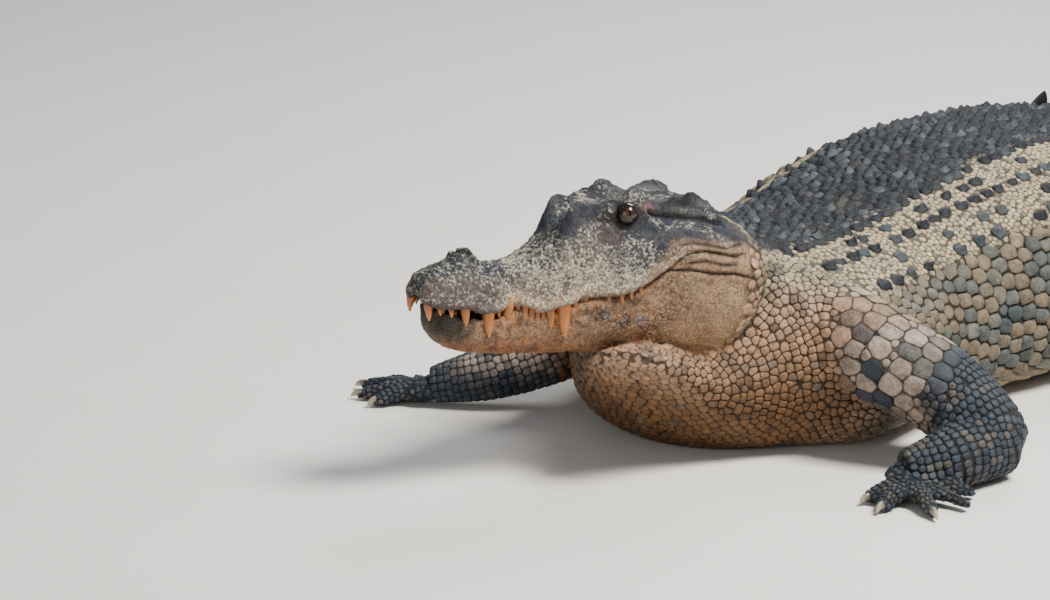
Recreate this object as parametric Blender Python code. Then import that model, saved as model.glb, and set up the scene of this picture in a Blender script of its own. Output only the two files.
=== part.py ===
"""Saltwater crocodile, life size, at rest on its belly with its head raised and turned to its right.

The body is laid out along Y: it faces -Y, its left is +X, and it lies on Z = 0.
Lengths are in metres.
"""
import bpy
import bmesh
import math
import numpy as np
from mathutils import Matrix, Vector

# ---------------------------------------------------------------- driving sizes
GAP = 0.0004              # clearance between neighbouring pieces
HEAD_LENGTH = 0.68        # snout tip to the back of the skull table
JAW_LENGTH = 0.73         # snout tip to the back of the lower jaw
JAW_START = 0.038         # how far the lower jaw sits behind the snout tip
MOUTH_OPEN_TO = 0.205     # the lips part in front of this distance from the snout tip

# Distances along the spine behind the shoulders, where one part of the body gives way to the next.
THROAT_START = -0.38
NECK_END = 0.10
CHEST_END = 0.80
BELLY_END = 1.36
TAIL_START = 1.68
TAIL_CUTS = (2.18, 2.72, 3.30)
TAIL_TIP = 3.92

# The head's own frame: u runs back from the snout tip, q to the animal's left, r up.
SNOUT_TIP = Vector((-0.213, -0.645, 0.418))
HEAD_TURN = math.radians(22)    # to the animal's right
HEAD_PITCH = math.radians(8)    # snout up
HEAD_ROLL = math.radians(2)     # left side up

EYE_AT = (0.430, 0.083, 0.184)  # u, q, r of the left eyeball's centre
EYE_RADIUS = 0.026

# Distance from the snout tip and length of each tooth that shows, on both sides alike.
UPPER_TEETH = ((0.016, 0.026), (0.040, 0.014), (0.066, 0.016), (0.095, 0.034), (0.150, 0.046),
               (0.222, 0.018), (0.242, 0.022), (0.262, 0.016), (0.279, 0.036), (0.308, 0.056),
               (0.332, 0.020), (0.400, 0.014), (0.430, 0.014), (0.458, 0.012))
LOWER_TEETH = ((0.058, 0.014), (0.075, 0.014), (0.108, 0.014), (0.196, 0.034), (0.347, 0.012))
LARGE_TOOTH = 0.03        # a tooth at least this long is curved and has five sides
TOOTH_ROOT = 0.006        # how deep a tooth's foot is sunk into the jaw

# Each foot: directions of its digits in degrees from straight out sideways, forward positive,
# and their lengths from the middle of the palm.
HAND_LEFT_FAN = ((112, 0.115), (84, 0.135), (36, 0.155), (0, 0.165), (-34, 0.150))
HAND_RIGHT_FAN = ((62, 0.125), (34, 0.155), (8, 0.175), (-16, 0.165), (-42, 0.140))
FOOT_FAN = ((78, 0.17), (50, 0.21), (22, 0.22), (-6, 0.19))

# Middle line of each leg from inside the body out: x, y, z and radius.
FORELEG_LEFT = ((0.20, 0.16, 0.25, 0.120), (0.38, 0.16, 0.215, 0.105), (0.54, 0.20, 0.135, 0.092),
                (0.622, 0.20, 0.074, 0.084), (0.608, 0.095, 0.064, 0.070), (0.553, -0.005, 0.044, 0.046))
FORELEG_RIGHT = ((-0.16, 0.18, 0.24, 0.115), (-0.30, 0.09, 0.19, 0.100), (-0.39, -0.02, 0.115, 0.078),
                 (-0.475, -0.11, 0.072, 0.062), (-0.565, -0.175, 0.044, 0.044))
HIND_LEG = ((0.20, 1.50, 0.22, 0.120), (0.38, 1.47, 0.19, 0.130), (0.58, 1.42, 0.13, 0.105),
            (0.64, 1.49, 0.088, 0.085), (0.62, 1.62, 0.068, 0.064), (0.59, 1.72, 0.048, 0.046))
LEG_RINGS = 11            # outlines along each leg, evenly spaced
ELBOW, KNEE = 5, 6        # the outline where the lower length of a leg takes over

SKIN = (0.30, 0.27, 0.20)
SKIN_DARK = (0.10, 0.11, 0.11)
SKIN_PALE = (0.55, 0.44, 0.27)
EYE_BROWN = (0.03, 0.022, 0.015)


def profile(*pairs):
    """A smooth curve through (place, size) pairs that never overshoots them."""
    x = np.array([p[0] for p in pairs], float)
    y = np.array([p[1] for p in pairs], float)
    step = np.diff(x)
    rise = np.diff(y) / step
    slope = np.zeros(len(x))
    slope[0] = rise[0]
    slope[-1] = rise[-1]
    for i in range(1, len(x) - 1):
        if rise[i - 1] * rise[i] > 0:
            slope[i] = 2 * rise[i - 1] * rise[i] / (rise[i - 1] + rise[i])

    def at(place):
        place = np.clip(place, x[0], x[-1])
        i = np.clip(np.searchsorted(x, place) - 1, 0, len(step) - 1)
        h = step[i]
        t = (place - x[i]) / h
        return ((2 * t**3 - 3 * t**2 + 1) * y[i] + (t**3 - 2 * t**2 + t) * h * slope[i]
                + (3 * t**2 - 2 * t**3) * y[i + 1] + (t**3 - t**2) * h * slope[i + 1])
    return at


# ---------------------------------------------------------------- head profiles, over u
LIP_HALF_WIDTH = profile((0, 0.014), (0.012, 0.034), (0.03, 0.051), (0.055, 0.064), (0.10, 0.070),
                         (0.15, 0.066), (0.195, 0.060), (0.24, 0.078), (0.29, 0.088), (0.36, 0.096),
                         (0.45, 0.130), (0.55, 0.165), (0.66, 0.190), (0.73, 0.175))
LIP_HEIGHT = profile((0, -0.004), (0.023, -0.004), (0.05, -0.008), (0.09, -0.016), (0.14, -0.031),
                     (0.17, -0.027), (0.20, -0.018), (0.22, -0.015), (0.255, -0.026), (0.29, -0.016),
                     (0.325, -0.006), (0.345, 0.007), (0.417, 0.017), (0.463, 0.043), (0.504, 0.080),
                     (0.53, 0.098), (0.58, 0.110), (0.66, 0.108), (0.73, 0.095))
TOP_HEIGHT = profile((0, 0.020), (0.02, 0.044), (0.06, 0.056), (0.10, 0.062), (0.16, 0.058),
                     (0.24, 0.072), (0.28, 0.104), (0.325, 0.152), (0.37, 0.180), (0.45, 0.192),
                     (0.60, 0.190), (0.68, 0.176), (0.73, 0.160))
LOWER_LIP_HEIGHT = profile((0.038, -0.030), (0.055, -0.032), (0.08, -0.038), (0.14, -0.046), (0.18, -0.038),
                           (0.205, -0.020))
CHIN_HEIGHT = profile((0.038, -0.060), (0.050, -0.082), (0.072, -0.101), (0.12, -0.117), (0.20, -0.120),
                      (0.40, -0.114), (0.55, -0.116), (0.66, -0.100), (0.73, -0.040))
JAW_HALF_WIDTH = profile((0.038, 0.022), (0.050, 0.038), (0.066, 0.050), (0.09, 0.058), (0.14, 0.061),
                         (0.20, 0.064), (0.29, 0.082), (0.40, 0.104), (0.50, 0.140), (0.60, 0.182),
                         (0.68, 0.198), (0.73, 0.170))


def bump(u, q, centre, reach, height):
    """A smooth hill of an oval outline, for arrays or numbers u and q."""
    d = ((u - centre[0]) / reach[0])**2 + ((q - centre[1]) / reach[1])**2
    return height * np.exp(-d)


def head_relief(u, q):
    """What stands up from the plain vault of the head: nostrils, ridges, brows and skull table."""
    side = abs(q)
    rise = bump(u, q, (0.108, 0.0), (0.034, 0.034), 0.028)
    rise += bump(u, side, (0.335, 0.046), (0.036, 0.022), 0.036)
    rise += bump(u, side, (0.394, 0.064), (0.032, 0.022), 0.036)
    rise += bump(u, side, (0.452, 0.073), (0.035, 0.024), 0.056)
    table = 1 / (1 + np.exp((side - 0.098) / 0.006))
    along = 1 / (1 + np.exp((0.47 - u) / 0.014)) / (1 + np.exp((u - 0.645) / 0.010))
    rise += 0.022 * table * along
    rise += bump(u, side, (0.590, 0.085), (0.036, 0.014), 0.026)
    return rise


def head_point(u, q, r):
    """A point of the head's own frame, in the body's frame."""
    turn = Matrix.Rotation(-HEAD_TURN, 4, "Z") @ Matrix.Rotation(-HEAD_PITCH, 4, "X")
    turn = turn @ Matrix.Rotation(-HEAD_ROLL, 4, "Y")
    return SNOUT_TIP + turn @ Vector((q, u, r))


def upper_ring(u, over, under):
    """The outline of the upper head across its length at u, from the left lip over to the right."""
    half, lip, top = LIP_HALF_WIDTH(u), LIP_HEIGHT(u), TOP_HEIGHT(u)
    boxy = 0.72 + 0.20 * np.clip((u - 0.30) / 0.25, 0, 1)
    ring = []
    for i in range(over + 1):
        a = math.pi * i / over
        c, s = math.cos(a), math.sin(a)
        q = half * math.copysign(abs(c)**boxy, c)
        r = lip + (top - lip) * s**boxy
        ring.append((q, r + float(head_relief(u, q)) * s**0.5))
    for i in range(1, under):
        f = 1 - 2 * i / under
        ring.append((half * f * 0.94, lip + 0.010 * (1 - f * f) * min(1, half / 0.05)))
    return [head_point(u, q, r) for q, r in ring]


def mouth_height(u):
    """Where the lower jaw's upper face lies: open at the front, closed to a fine gap behind."""
    return min(LOWER_LIP_HEIGHT(u), LIP_HEIGHT(u) - GAP) if u < MOUTH_OPEN_TO else LIP_HEIGHT(u) - GAP


def jaw_ring(u, across, below):
    """The outline of the lower jaw at u, from the right lip over the mouth to the left and below."""
    half, lip, chin = JAW_HALF_WIDTH(u), mouth_height(u), CHIN_HEIGHT(u)
    ring = []
    for i in range(across + 1):
        f = 2 * i / across - 1
        ring.append((half * f * 0.94, lip))
    for i in range(1, below):
        a = math.pi * i / below
        c, s = math.cos(a), math.sin(a)
        q = half * math.copysign(abs(c)**0.7, c)
        ring.append((q, lip - (lip - chin) * s**0.75))
    return [head_point(u, q, r) for q, r in ring]


# ---------------------------------------------------------------- body profiles, over the spine
BODY_HALF_WIDTH = profile((-0.38, 0.055), (-0.30, 0.092), (-0.20, 0.148), (-0.10, 0.222), (0.0, 0.30),
                          (0.10, 0.370), (0.20, 0.415), (0.30, 0.412), (0.45, 0.395), (0.60, 0.405),
                          (0.80, 0.455), (1.0, 0.480), (1.25, 0.460), (1.50, 0.370), (1.68, 0.270),
                          (1.95, 0.200), (2.40, 0.140), (2.90, 0.092), (3.40, 0.050), (3.92, 0.010))
BODY_TOP = profile((-0.38, 0.295), (-0.30, 0.285), (-0.20, 0.285), (-0.12, 0.33), (-0.04, 0.430),
                   (0.02, 0.462), (0.08, 0.440), (0.18, 0.410), (0.40, 0.410), (0.70, 0.452),
                   (1.0, 0.486), (1.3, 0.480), (1.55, 0.445), (1.85, 0.370), (2.30, 0.285),
                   (2.90, 0.205), (3.45, 0.120), (3.92, 0.035))
BODY_FLOOR = profile((-0.38, 0.285), (-0.33, 0.245), (-0.25, 0.170), (-0.17, 0.085), (-0.11, 0.030),
                     (-0.06, 0.0), (0.0, -0.012), (1.4, -0.012), (1.8, -0.006), (3.92, -0.002))
SPINE_TURN = profile((-0.38, 22), (-0.10, 14), (0.15, 0), (1.50, 0), (2.10, 12), (2.80, 6), (3.40, -20),
                     (3.92, -42))
SPINE_STEP = 0.005


def spine_points():
    """Places on the midline seen from above, every few millimetres from the neck to the tail tip."""
    ys = np.arange(THROAT_START, TAIL_TIP + SPINE_STEP / 2, SPINE_STEP)
    turn = np.radians(SPINE_TURN(ys))
    x = np.concatenate([[0], np.cumsum(-np.sin(turn[:-1]) * SPINE_STEP)])
    y = np.concatenate([[0], np.cumsum(np.cos(turn[:-1]) * SPINE_STEP)])
    start = np.argmin(abs(ys))
    return ys, x - x[start], y - y[start], turn


SPINE = spine_points()


def spine_at(s):
    """The midline's x, y and heading at the distance s behind the shoulder."""
    along, x, y, turn = SPINE
    return np.interp(s, along, x), np.interp(s, along, y), np.interp(s, along, turn)


def body_point(s, across, height):
    """A point beside the spine, in the body's frame."""
    x, y, turn = spine_at(s)
    return Vector((x + across * math.cos(turn), y + across * math.sin(turn), max(height, 0.0)))


def body_ring(s, sides):
    """The outline across the body at s: narrow above in the neck, flat below where it lies down."""
    half, top, low = BODY_HALF_WIDTH(s), BODY_TOP(s), BODY_FLOOR(s)
    waist = low + (top - low) * (0.40 if s < TAIL_START else 0.45)
    slim = np.clip((0.22 - s) / 0.25, 0, 1)
    settled = np.clip((s + 0.10) / 0.25, 0, 1)
    ring = []
    for i in range(sides):
        a = 2 * math.pi * (i + 0.5) / sides
        c, v = math.cos(a), math.sin(a)
        if v > 0:
            q = half * math.copysign(abs(c)**(0.95 + 0.85 * slim), c)
            r = waist + (top - waist) * v**0.9
        else:
            q = half * math.copysign(abs(c)**(1.0 - 0.35 * settled), c)
            r = waist - (waist - low) * abs(v)**(0.80 - 0.20 * settled)
        ring.append(body_point(s, q, r))
    return ring


# ---------------------------------------------------------------- mesh helpers
def material(name, colour, roughness):
    m = bpy.data.materials.new(name)
    m.use_nodes = True
    shader = m.node_tree.nodes["Principled BSDF"]
    shader.inputs["Base Color"].default_value = (*colour, 1)
    shader.inputs["Roughness"].default_value = roughness
    return m


def new_object(name, mesh, mat, collection):
    o = bpy.data.objects.new(name, mesh)
    if mat:
        mesh.materials.append(mat)
    collection.objects.link(o)
    return o


def closed_mesh(name, build):
    """A mesh made by build(bm), with its faces turned outwards."""
    bm = bmesh.new()
    build(bm)
    bmesh.ops.triangulate(bm, faces=bm.faces)
    bmesh.ops.recalc_face_normals(bm, faces=bm.faces)
    mesh = bpy.data.meshes.new(name)
    bm.to_mesh(mesh)
    bm.free()
    mesh.shade_smooth()
    return mesh


def add_loft(bm, rings):
    """Skin a row of equal rings with quads and close both ends."""
    rows = [[bm.verts.new(p) for p in ring] for ring in rings]
    count = len(rows[0])
    for a, b in zip(rows, rows[1:]):
        for i in range(count):
            j = (i + 1) % count
            bm.faces.new((a[i], a[j], b[j], b[i]))
    bm.faces.new(list(reversed(rows[0])))
    bm.faces.new(rows[-1])


def add_tube(bm, points, radii, sides, flat=1.0, floor=0.0):
    """A tapering limb round a row of points; flat squeezes its height. Nothing goes below its floor."""
    points = [Vector(p) for p in points]
    rings = []
    for i, p in enumerate(points):
        along = (points[min(i + 1, len(points) - 1)] - points[max(i - 1, 0)]).normalized()
        side = along.cross(Vector((0, 0, 1))).normalized()
        up = side.cross(along)
        ring = []
        for k in range(sides):
            a = 2 * math.pi * k / sides
            v = p + side * math.cos(a) * radii[i] + up * math.sin(a) * radii[i] * flat
            ring.append(Vector((v.x, v.y, max(v.z, floor))))
        rings.append(ring)
    add_loft(bm, rings)


def smooth_path(points, count):
    """Points and sizes read evenly from a smooth curve through a few given ones."""
    given = np.array(points, float)
    step = np.linalg.norm(np.diff(given[:, :3], axis=0), axis=1)
    place = np.concatenate([[0], np.cumsum(step)])
    wanted = np.linspace(0, place[-1], count)
    columns = [profile(*zip(place, column))(wanted) for column in given.T]
    return np.array(columns).T


def boolean(target, tool, operation):
    """Join tool to target, or cut it away; the tool stays as a hidden guide."""
    m = target.modifiers.new(operation.title(), "BOOLEAN")
    m.operation = operation
    m.solver = "EXACT"
    m.object = tool
    tool.hide_render = True
    tool.display_type = "WIRE"


def swollen_copy(source, collection):
    """A cutter the shape of a finished piece, thicker all over by the clearance."""
    graph = bpy.context.evaluated_depsgraph_get()
    graph.update()
    mesh = bpy.data.meshes.new_from_object(source.evaluated_get(graph))
    bm = bmesh.new()
    bm.from_mesh(mesh)
    bmesh.ops.triangulate(bm, faces=bm.faces)
    bm.normal_update()
    shift = [(v, v.normal * v.calc_shell_factor() * GAP) for v in bm.verts]
    for v, d in shift:
        v.co += d
    bm.to_mesh(mesh)
    bm.free()
    return new_object(source.name + "_cutter", mesh, None, collection)


def add_tooth(bm, base, tip_way, lean, length):
    """A slightly curved cone standing on the lip; tip_way is down or up, lean points outwards."""
    radius = 0.002 + 0.20 * length
    large = length > LARGE_TOOTH
    points = [(base - tip_way * TOOTH_ROOT, 1.0), (base + tip_way * length, 0.25)]
    if large:
        points.insert(1, (base + tip_way * length * 0.45 + lean * length * 0.10, 0.85))
    add_loft(bm, [ring_round(p, lean, tip_way.cross(lean), radius * f, 5 if large else 4)
                  for p, f in points])


def ring_round(centre, side, other, radius, sides):
    return [centre + (side * math.cos(a) + other * math.sin(a)) * radius
            for a in (2 * math.pi * k / sides for k in range(sides))]


def add_tooth_row(bm, teeth, half_width, lip_height, way):
    """Teeth along both edges of a jaw, standing just inside its lip."""
    for u, length in teeth:
        for side in (1, -1):
            base = head_point(u, side * (half_width(u) - 0.010), lip_height(u))
            up = (head_point(u, 0, 1) - head_point(u, 0, 0)) * way
            out = (head_point(u, side, 0) - head_point(u, 0, 0))
            add_tooth(bm, base, up.normalized(), out.normalized(), length)


def add_scute(bm, s, across, height, length, thick):
    """One upright keel of the tail's crest, leaning back, with its foot sunk into the tail."""
    top = float(BODY_TOP(s))
    sunk = 0.025
    foot = [(-0.5, -1), (-0.5, 1), (0.5, 1), (0.5, -1)]
    low = [body_point(s + f * length, across + e * thick / 2, top - sunk) for f, e in foot]
    tip = [body_point(s + f * length * 0.42 + 0.34 * length, across + e * thick * 0.15, top + height)
           for f, e in foot]
    add_loft(bm, [low, tip])


def crest_scutes(s_from, s_to):
    """Places, offsets from the midline and sizes of the crest's scutes between two stations."""
    s = 1.50
    scutes = []
    while s < TAIL_TIP - 0.06:
        pitch = 0.080
        grown = np.clip((s - 1.35) / 0.7, 0, 1)
        paired = s < 2.62
        height = 0.018 + 0.050 * grown if paired else 0.075 * np.clip((TAIL_TIP + 0.25 - s) / 0.9, 0.2, 1)
        offset = 0.085 - 0.060 * np.clip((s - 1.5) / 1.12, 0, 1)
        if s_from + pitch * 0.5 < s < s_to - pitch * 0.7:
            for side in ((1, -1) if paired else (0,)):
                scutes.append((s, side * offset, height, pitch * 0.90, 0.016))
        s += pitch
    return scutes


def piece(name, mat, collection, build):
    return new_object(name, closed_mesh(name, build), mat, collection)


def body_piece(name, start, end, count, mat, collection, sides=18):
    """A length of the body between two planes across the spine."""
    return piece(name, mat, collection, lambda bm: add_loft(
        bm, [body_ring(s, sides) for s in np.linspace(start + GAP / 2, end - GAP / 2, count)]))


def limb(names, points, split, foot_name, fan, side, digit_radius, mat, animal, guides, keep_off):
    """A leg in two lengths with its foot: a palm or sole with clawed digits spread on the ground."""
    path = smooth_path(points, LEG_RINGS)
    upper = piece(names[0], mat, animal, lambda bm: add_tube(
        bm, path[:split + 1, :3], path[:split + 1, 3], 10))
    for other in keep_off:
        boolean(upper, swollen_copy(other, guides), "DIFFERENCE")
    lower = piece(names[1], mat, animal, lambda bm: add_tube(
        bm, path[split:, :3], path[split:, 3], 10))
    boolean(lower, swollen_copy(upper, guides), "DIFFERENCE")
    wrist = Vector(path[-1][:3])
    mean = math.radians(sum(a for a, _ in fan) / len(fan))
    way = Vector((side * math.cos(mean), -math.sin(mean), 0))
    reach = max(length for _, length in fan)
    palm = [wrist - way * reach * 0.10, wrist + way * reach * 0.18, wrist + way * reach * 0.42]
    heights = (0.042, 0.032, 0.022)
    widths = (0.050, reach * 0.34, reach * 0.30)
    foot = piece(foot_name, mat, animal, lambda bm: add_tube(
        bm, [(p.x, p.y, h) for p, h in zip(palm, heights)], widths, 8, flat=0.55, floor=-1.0))
    middle = palm[1]
    for i, (angle, length) in enumerate(fan):
        a = math.radians(angle)
        out = Vector((side * math.cos(a), -math.sin(a), 0))
        slim = digit_radius * (1.0 if i < 3 else 0.8)
        clawed = i < 3
        stations = ((0.18, 1.0, 0.024), (0.60, 1.0, 0.020), (0.80, 0.60, 0.012),
                    (1.0, 0.08 if clawed else 0.25, 0.003))
        centres = [(middle.x + out.x * length * f, middle.y + out.y * length * f, z)
                   for f, _, z in stations]
        digit = piece(f"{foot_name}_digit_{i}", None, guides, lambda bm: add_tube(
            bm, centres, [slim * w for _, w, _ in stations], 5, floor=-1.0))
        boolean(foot, digit, "UNION")
    ground = piece(f"{foot_name}_ground", None, guides, lambda bm: bmesh.ops.create_cube(
        bm, size=1.0, matrix=Matrix.Translation((wrist.x, wrist.y, -0.5))))
    boolean(foot, ground, "DIFFERENCE")
    boolean(foot, swollen_copy(lower, guides), "DIFFERENCE")
    return upper, lower, foot


def stand_on_origin(animal, guides):
    """Bring the middle of the whole animal's footprint to the origin, with its belly on Z = 0."""
    graph = bpy.context.evaluated_depsgraph_get()
    graph.update()
    corners = [o.matrix_world @ Vector(c) for o in animal.objects
               for c in o.evaluated_get(graph).bound_box]
    low = [min(c[i] for c in corners) for i in range(3)]
    high = [max(c[i] for c in corners) for i in range(3)]
    anchor = bpy.data.objects.new("anchor", None)
    animal.objects.link(anchor)
    for o in [*animal.objects, *guides.objects]:
        if o is not anchor:
            o.parent = anchor
    anchor.location = (-(low[0] + high[0]) / 2, -(low[1] + high[1]) / 2, -low[2])


def main():
    for o in list(bpy.data.objects):
        bpy.data.objects.remove(o)
    animal = bpy.data.collections.new("saltwater_crocodile")
    guides = bpy.data.collections.new("guides")
    bpy.context.scene.collection.children.link(animal)
    bpy.context.scene.collection.children.link(guides)
    skin = material("skin", SKIN, 0.6)
    dark = material("skin_dark", SKIN_DARK, 0.6)
    pale = material("skin_pale", SKIN_PALE, 0.6)
    eye = material("eye", EYE_BROWN, 0.1)

    shared = np.linspace(0.10, HEAD_LENGTH, 18)
    head = piece("head", dark, animal, lambda bm: add_loft(
        bm, [upper_ring(u, 14, 2) for u in (0, 0.012, 0.035, 0.065, *shared)]))
    jaw = piece("jaw", pale, animal, lambda bm: add_loft(
        bm, [jaw_ring(u, 2, 9) for u in (JAW_START, 0.050, 0.070, *shared, 0.71, JAW_LENGTH)]))
    upper_teeth = piece("upper_teeth", None, guides, lambda bm: add_tooth_row(
        bm, UPPER_TEETH, LIP_HALF_WIDTH, LIP_HEIGHT, -1))
    lower_teeth = piece("lower_teeth", None, guides, lambda bm: add_tooth_row(
        bm, LOWER_TEETH, JAW_HALF_WIDTH, mouth_height, 1))
    room_for_upper = swollen_copy(upper_teeth, guides)
    room_for_lower = swollen_copy(lower_teeth, guides)
    boolean(head, upper_teeth, "UNION")
    boolean(jaw, lower_teeth, "UNION")
    boolean(head, room_for_lower, "DIFFERENCE")
    boolean(jaw, room_for_upper, "DIFFERENCE")
    for side, name in ((1, "eye_left"), (-1, "eye_right")):
        ball = bpy.data.meshes.new(name)
        bm = bmesh.new()
        bmesh.ops.create_uvsphere(bm, u_segments=12, v_segments=6, radius=EYE_RADIUS)
        bm.to_mesh(ball)
        bm.free()
        ball.shade_smooth()
        o = new_object(name, ball, eye, animal)
        o.location = head_point(EYE_AT[0], side * EYE_AT[1], EYE_AT[2])
        socket = swollen_copy(o, guides)
        socket.location = o.location
        boolean(head, socket, "DIFFERENCE")

    neck = body_piece("neck", THROAT_START, NECK_END, 8, pale, animal)
    boolean(neck, swollen_copy(head, guides), "DIFFERENCE")
    boolean(neck, swollen_copy(jaw, guides), "DIFFERENCE")
    chest = body_piece("chest", NECK_END, CHEST_END, 7, skin, animal)
    belly = body_piece("belly", CHEST_END, BELLY_END, 6, skin, animal)
    hips = body_piece("hips", BELLY_END, TAIL_START, 5, skin, animal)
    cuts = (TAIL_START, *TAIL_CUTS, TAIL_TIP)
    for i, (start, end) in enumerate(zip(cuts, cuts[1:])):
        length = body_piece(f"tail_{i + 1}", start, end, 5, skin, animal, sides=14)
        scutes = piece(f"crest_{i + 1}", None, guides, lambda bm: [
            add_scute(bm, *scute) for scute in crest_scutes(start, end)])
        boolean(length, scutes, "UNION")
    for side, word in ((1, "left"), (-1, "right")):
        points = FORELEG_LEFT if side == 1 else FORELEG_RIGHT
        fan = HAND_LEFT_FAN if side == 1 else HAND_RIGHT_FAN
        limb((f"upper_arm_{word}", f"forearm_{word}"), points, ELBOW, f"hand_{word}", fan, side, 0.021,
             dark, animal, guides, (chest, neck))
        points = [(side * x, y, z, radius) for x, y, z, radius in HIND_LEG]
        limb((f"thigh_{word}", f"shank_{word}"), points, KNEE, f"foot_{word}", FOOT_FAN, side, 0.026,
             dark, animal, guides, (hips, belly))
    stand_on_origin(animal, guides)


main()
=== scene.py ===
import math

import bpy
import numpy as np
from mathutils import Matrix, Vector, noise
from mathutils.bvhtree import BVHTree
from mathutils.kdtree import KDTree


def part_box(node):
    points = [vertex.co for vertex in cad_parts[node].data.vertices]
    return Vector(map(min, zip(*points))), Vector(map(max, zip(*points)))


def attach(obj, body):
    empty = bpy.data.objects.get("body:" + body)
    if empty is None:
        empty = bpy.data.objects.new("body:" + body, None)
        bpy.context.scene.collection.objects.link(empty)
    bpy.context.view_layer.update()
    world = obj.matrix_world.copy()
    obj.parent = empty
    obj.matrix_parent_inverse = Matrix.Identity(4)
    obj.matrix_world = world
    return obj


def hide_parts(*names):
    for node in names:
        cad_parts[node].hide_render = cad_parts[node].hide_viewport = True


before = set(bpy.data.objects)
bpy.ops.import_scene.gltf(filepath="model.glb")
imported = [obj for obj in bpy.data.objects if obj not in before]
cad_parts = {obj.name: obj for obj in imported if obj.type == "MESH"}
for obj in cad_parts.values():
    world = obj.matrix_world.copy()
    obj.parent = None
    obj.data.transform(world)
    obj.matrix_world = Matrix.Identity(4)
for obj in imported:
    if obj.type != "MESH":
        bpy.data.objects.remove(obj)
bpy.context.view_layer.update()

# ---------------------------------------------------------------- sizes the solids are made from
THROAT_START, TAIL_START, TAIL_TIP = -0.38, 1.68, 3.92
JAW_LENGTH, JAW_START, MOUTH_OPEN_TO = 0.73, 0.038, 0.205
SNOUT_TIP = np.array((-0.213, -0.645, 0.418))
HEAD_TURN, HEAD_PITCH, HEAD_ROLL = math.radians(22), math.radians(8), math.radians(2)
EYE_AT = (0.430, 0.083, 0.184)
SEED = 7
rng = np.random.default_rng(SEED)


def profile(*pairs):
    """A smooth curve through (place, size) pairs that never overshoots them."""
    x = np.array([p[0] for p in pairs], float)
    y = np.array([p[1] for p in pairs], float)
    step = np.diff(x)
    rise = np.diff(y) / step
    slope = np.concatenate([rise[:1], np.zeros(len(x) - 2), rise[-1:]])
    for i in range(1, len(x) - 1):
        if rise[i - 1] * rise[i] > 0:
            slope[i] = 2 * rise[i - 1] * rise[i] / (rise[i - 1] + rise[i])

    def at(place):
        place = np.clip(place, x[0], x[-1])
        i = np.clip(np.searchsorted(x, place) - 1, 0, len(step) - 1)
        h = step[i]
        t = (place - x[i]) / h
        return ((2 * t**3 - 3 * t**2 + 1) * y[i] + (t**3 - 2 * t**2 + t) * h * slope[i]
                + (3 * t**2 - 2 * t**3) * y[i + 1] + (t**3 - t**2) * h * slope[i + 1])
    return at


LIP_HALF_WIDTH = profile((0, 0.014), (0.012, 0.034), (0.03, 0.051), (0.055, 0.064), (0.10, 0.070),
                         (0.15, 0.066), (0.195, 0.060), (0.24, 0.078), (0.29, 0.088), (0.36, 0.096),
                         (0.45, 0.130), (0.55, 0.165), (0.66, 0.190), (0.73, 0.175))
LIP_HEIGHT = profile((0, -0.004), (0.023, -0.004), (0.05, -0.008), (0.09, -0.016), (0.14, -0.031),
                     (0.17, -0.027), (0.20, -0.018), (0.22, -0.015), (0.255, -0.026), (0.29, -0.016),
                     (0.325, -0.006), (0.345, 0.007), (0.417, 0.017), (0.463, 0.043), (0.504, 0.080),
                     (0.53, 0.098), (0.58, 0.110), (0.66, 0.108), (0.73, 0.095))
TOP_HEIGHT = profile((0, 0.020), (0.02, 0.044), (0.06, 0.056), (0.10, 0.062), (0.16, 0.058), (0.24, 0.072),
                     (0.28, 0.104), (0.325, 0.152), (0.37, 0.180), (0.45, 0.192), (0.60, 0.190),
                     (0.68, 0.176), (0.73, 0.160))
LOWER_LIP_HEIGHT = profile((0.038, -0.030), (0.055, -0.032), (0.08, -0.038), (0.14, -0.046), (0.18, -0.038),
                           (0.205, -0.020))
CHIN_HEIGHT = profile((0.038, -0.060), (0.050, -0.082), (0.072, -0.101), (0.12, -0.117), (0.20, -0.120),
                      (0.40, -0.114), (0.55, -0.116), (0.66, -0.100), (0.73, -0.040))
JAW_HALF_WIDTH = profile((0.038, 0.022), (0.050, 0.038), (0.066, 0.050), (0.09, 0.058), (0.14, 0.061),
                         (0.20, 0.064), (0.29, 0.082), (0.40, 0.104), (0.50, 0.140), (0.60, 0.182),
                         (0.68, 0.198), (0.73, 0.170))
BODY_HALF_WIDTH = profile((-0.38, 0.055), (-0.30, 0.092), (-0.20, 0.148), (-0.10, 0.222), (0.0, 0.30),
                          (0.10, 0.370), (0.20, 0.415), (0.30, 0.412), (0.45, 0.395), (0.60, 0.405),
                          (0.80, 0.455), (1.0, 0.480), (1.25, 0.460), (1.50, 0.370), (1.68, 0.270),
                          (1.95, 0.200), (2.40, 0.140), (2.90, 0.092), (3.40, 0.050), (3.92, 0.010))
BODY_TOP = profile((-0.38, 0.295), (-0.30, 0.285), (-0.20, 0.285), (-0.12, 0.33), (-0.04, 0.430),
                   (0.02, 0.462), (0.08, 0.440), (0.18, 0.410), (0.40, 0.410), (0.70, 0.452), (1.0, 0.486),
                   (1.3, 0.480), (1.55, 0.445), (1.85, 0.370), (2.30, 0.285), (2.90, 0.205), (3.45, 0.120),
                   (3.92, 0.035))
BODY_FLOOR = profile((-0.38, 0.285), (-0.33, 0.245), (-0.25, 0.170), (-0.17, 0.085), (-0.11, 0.030),
                     (-0.06, 0.0), (0.0, -0.012), (1.4, -0.012), (1.8, -0.006), (3.92, -0.002))
SPINE_TURN = profile((-0.38, 22), (-0.10, 14), (0.15, 0), (1.50, 0), (2.10, 12), (2.80, 6), (3.40, -20),
                     (3.92, -42))
SPINE_STEP = 0.005

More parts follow.
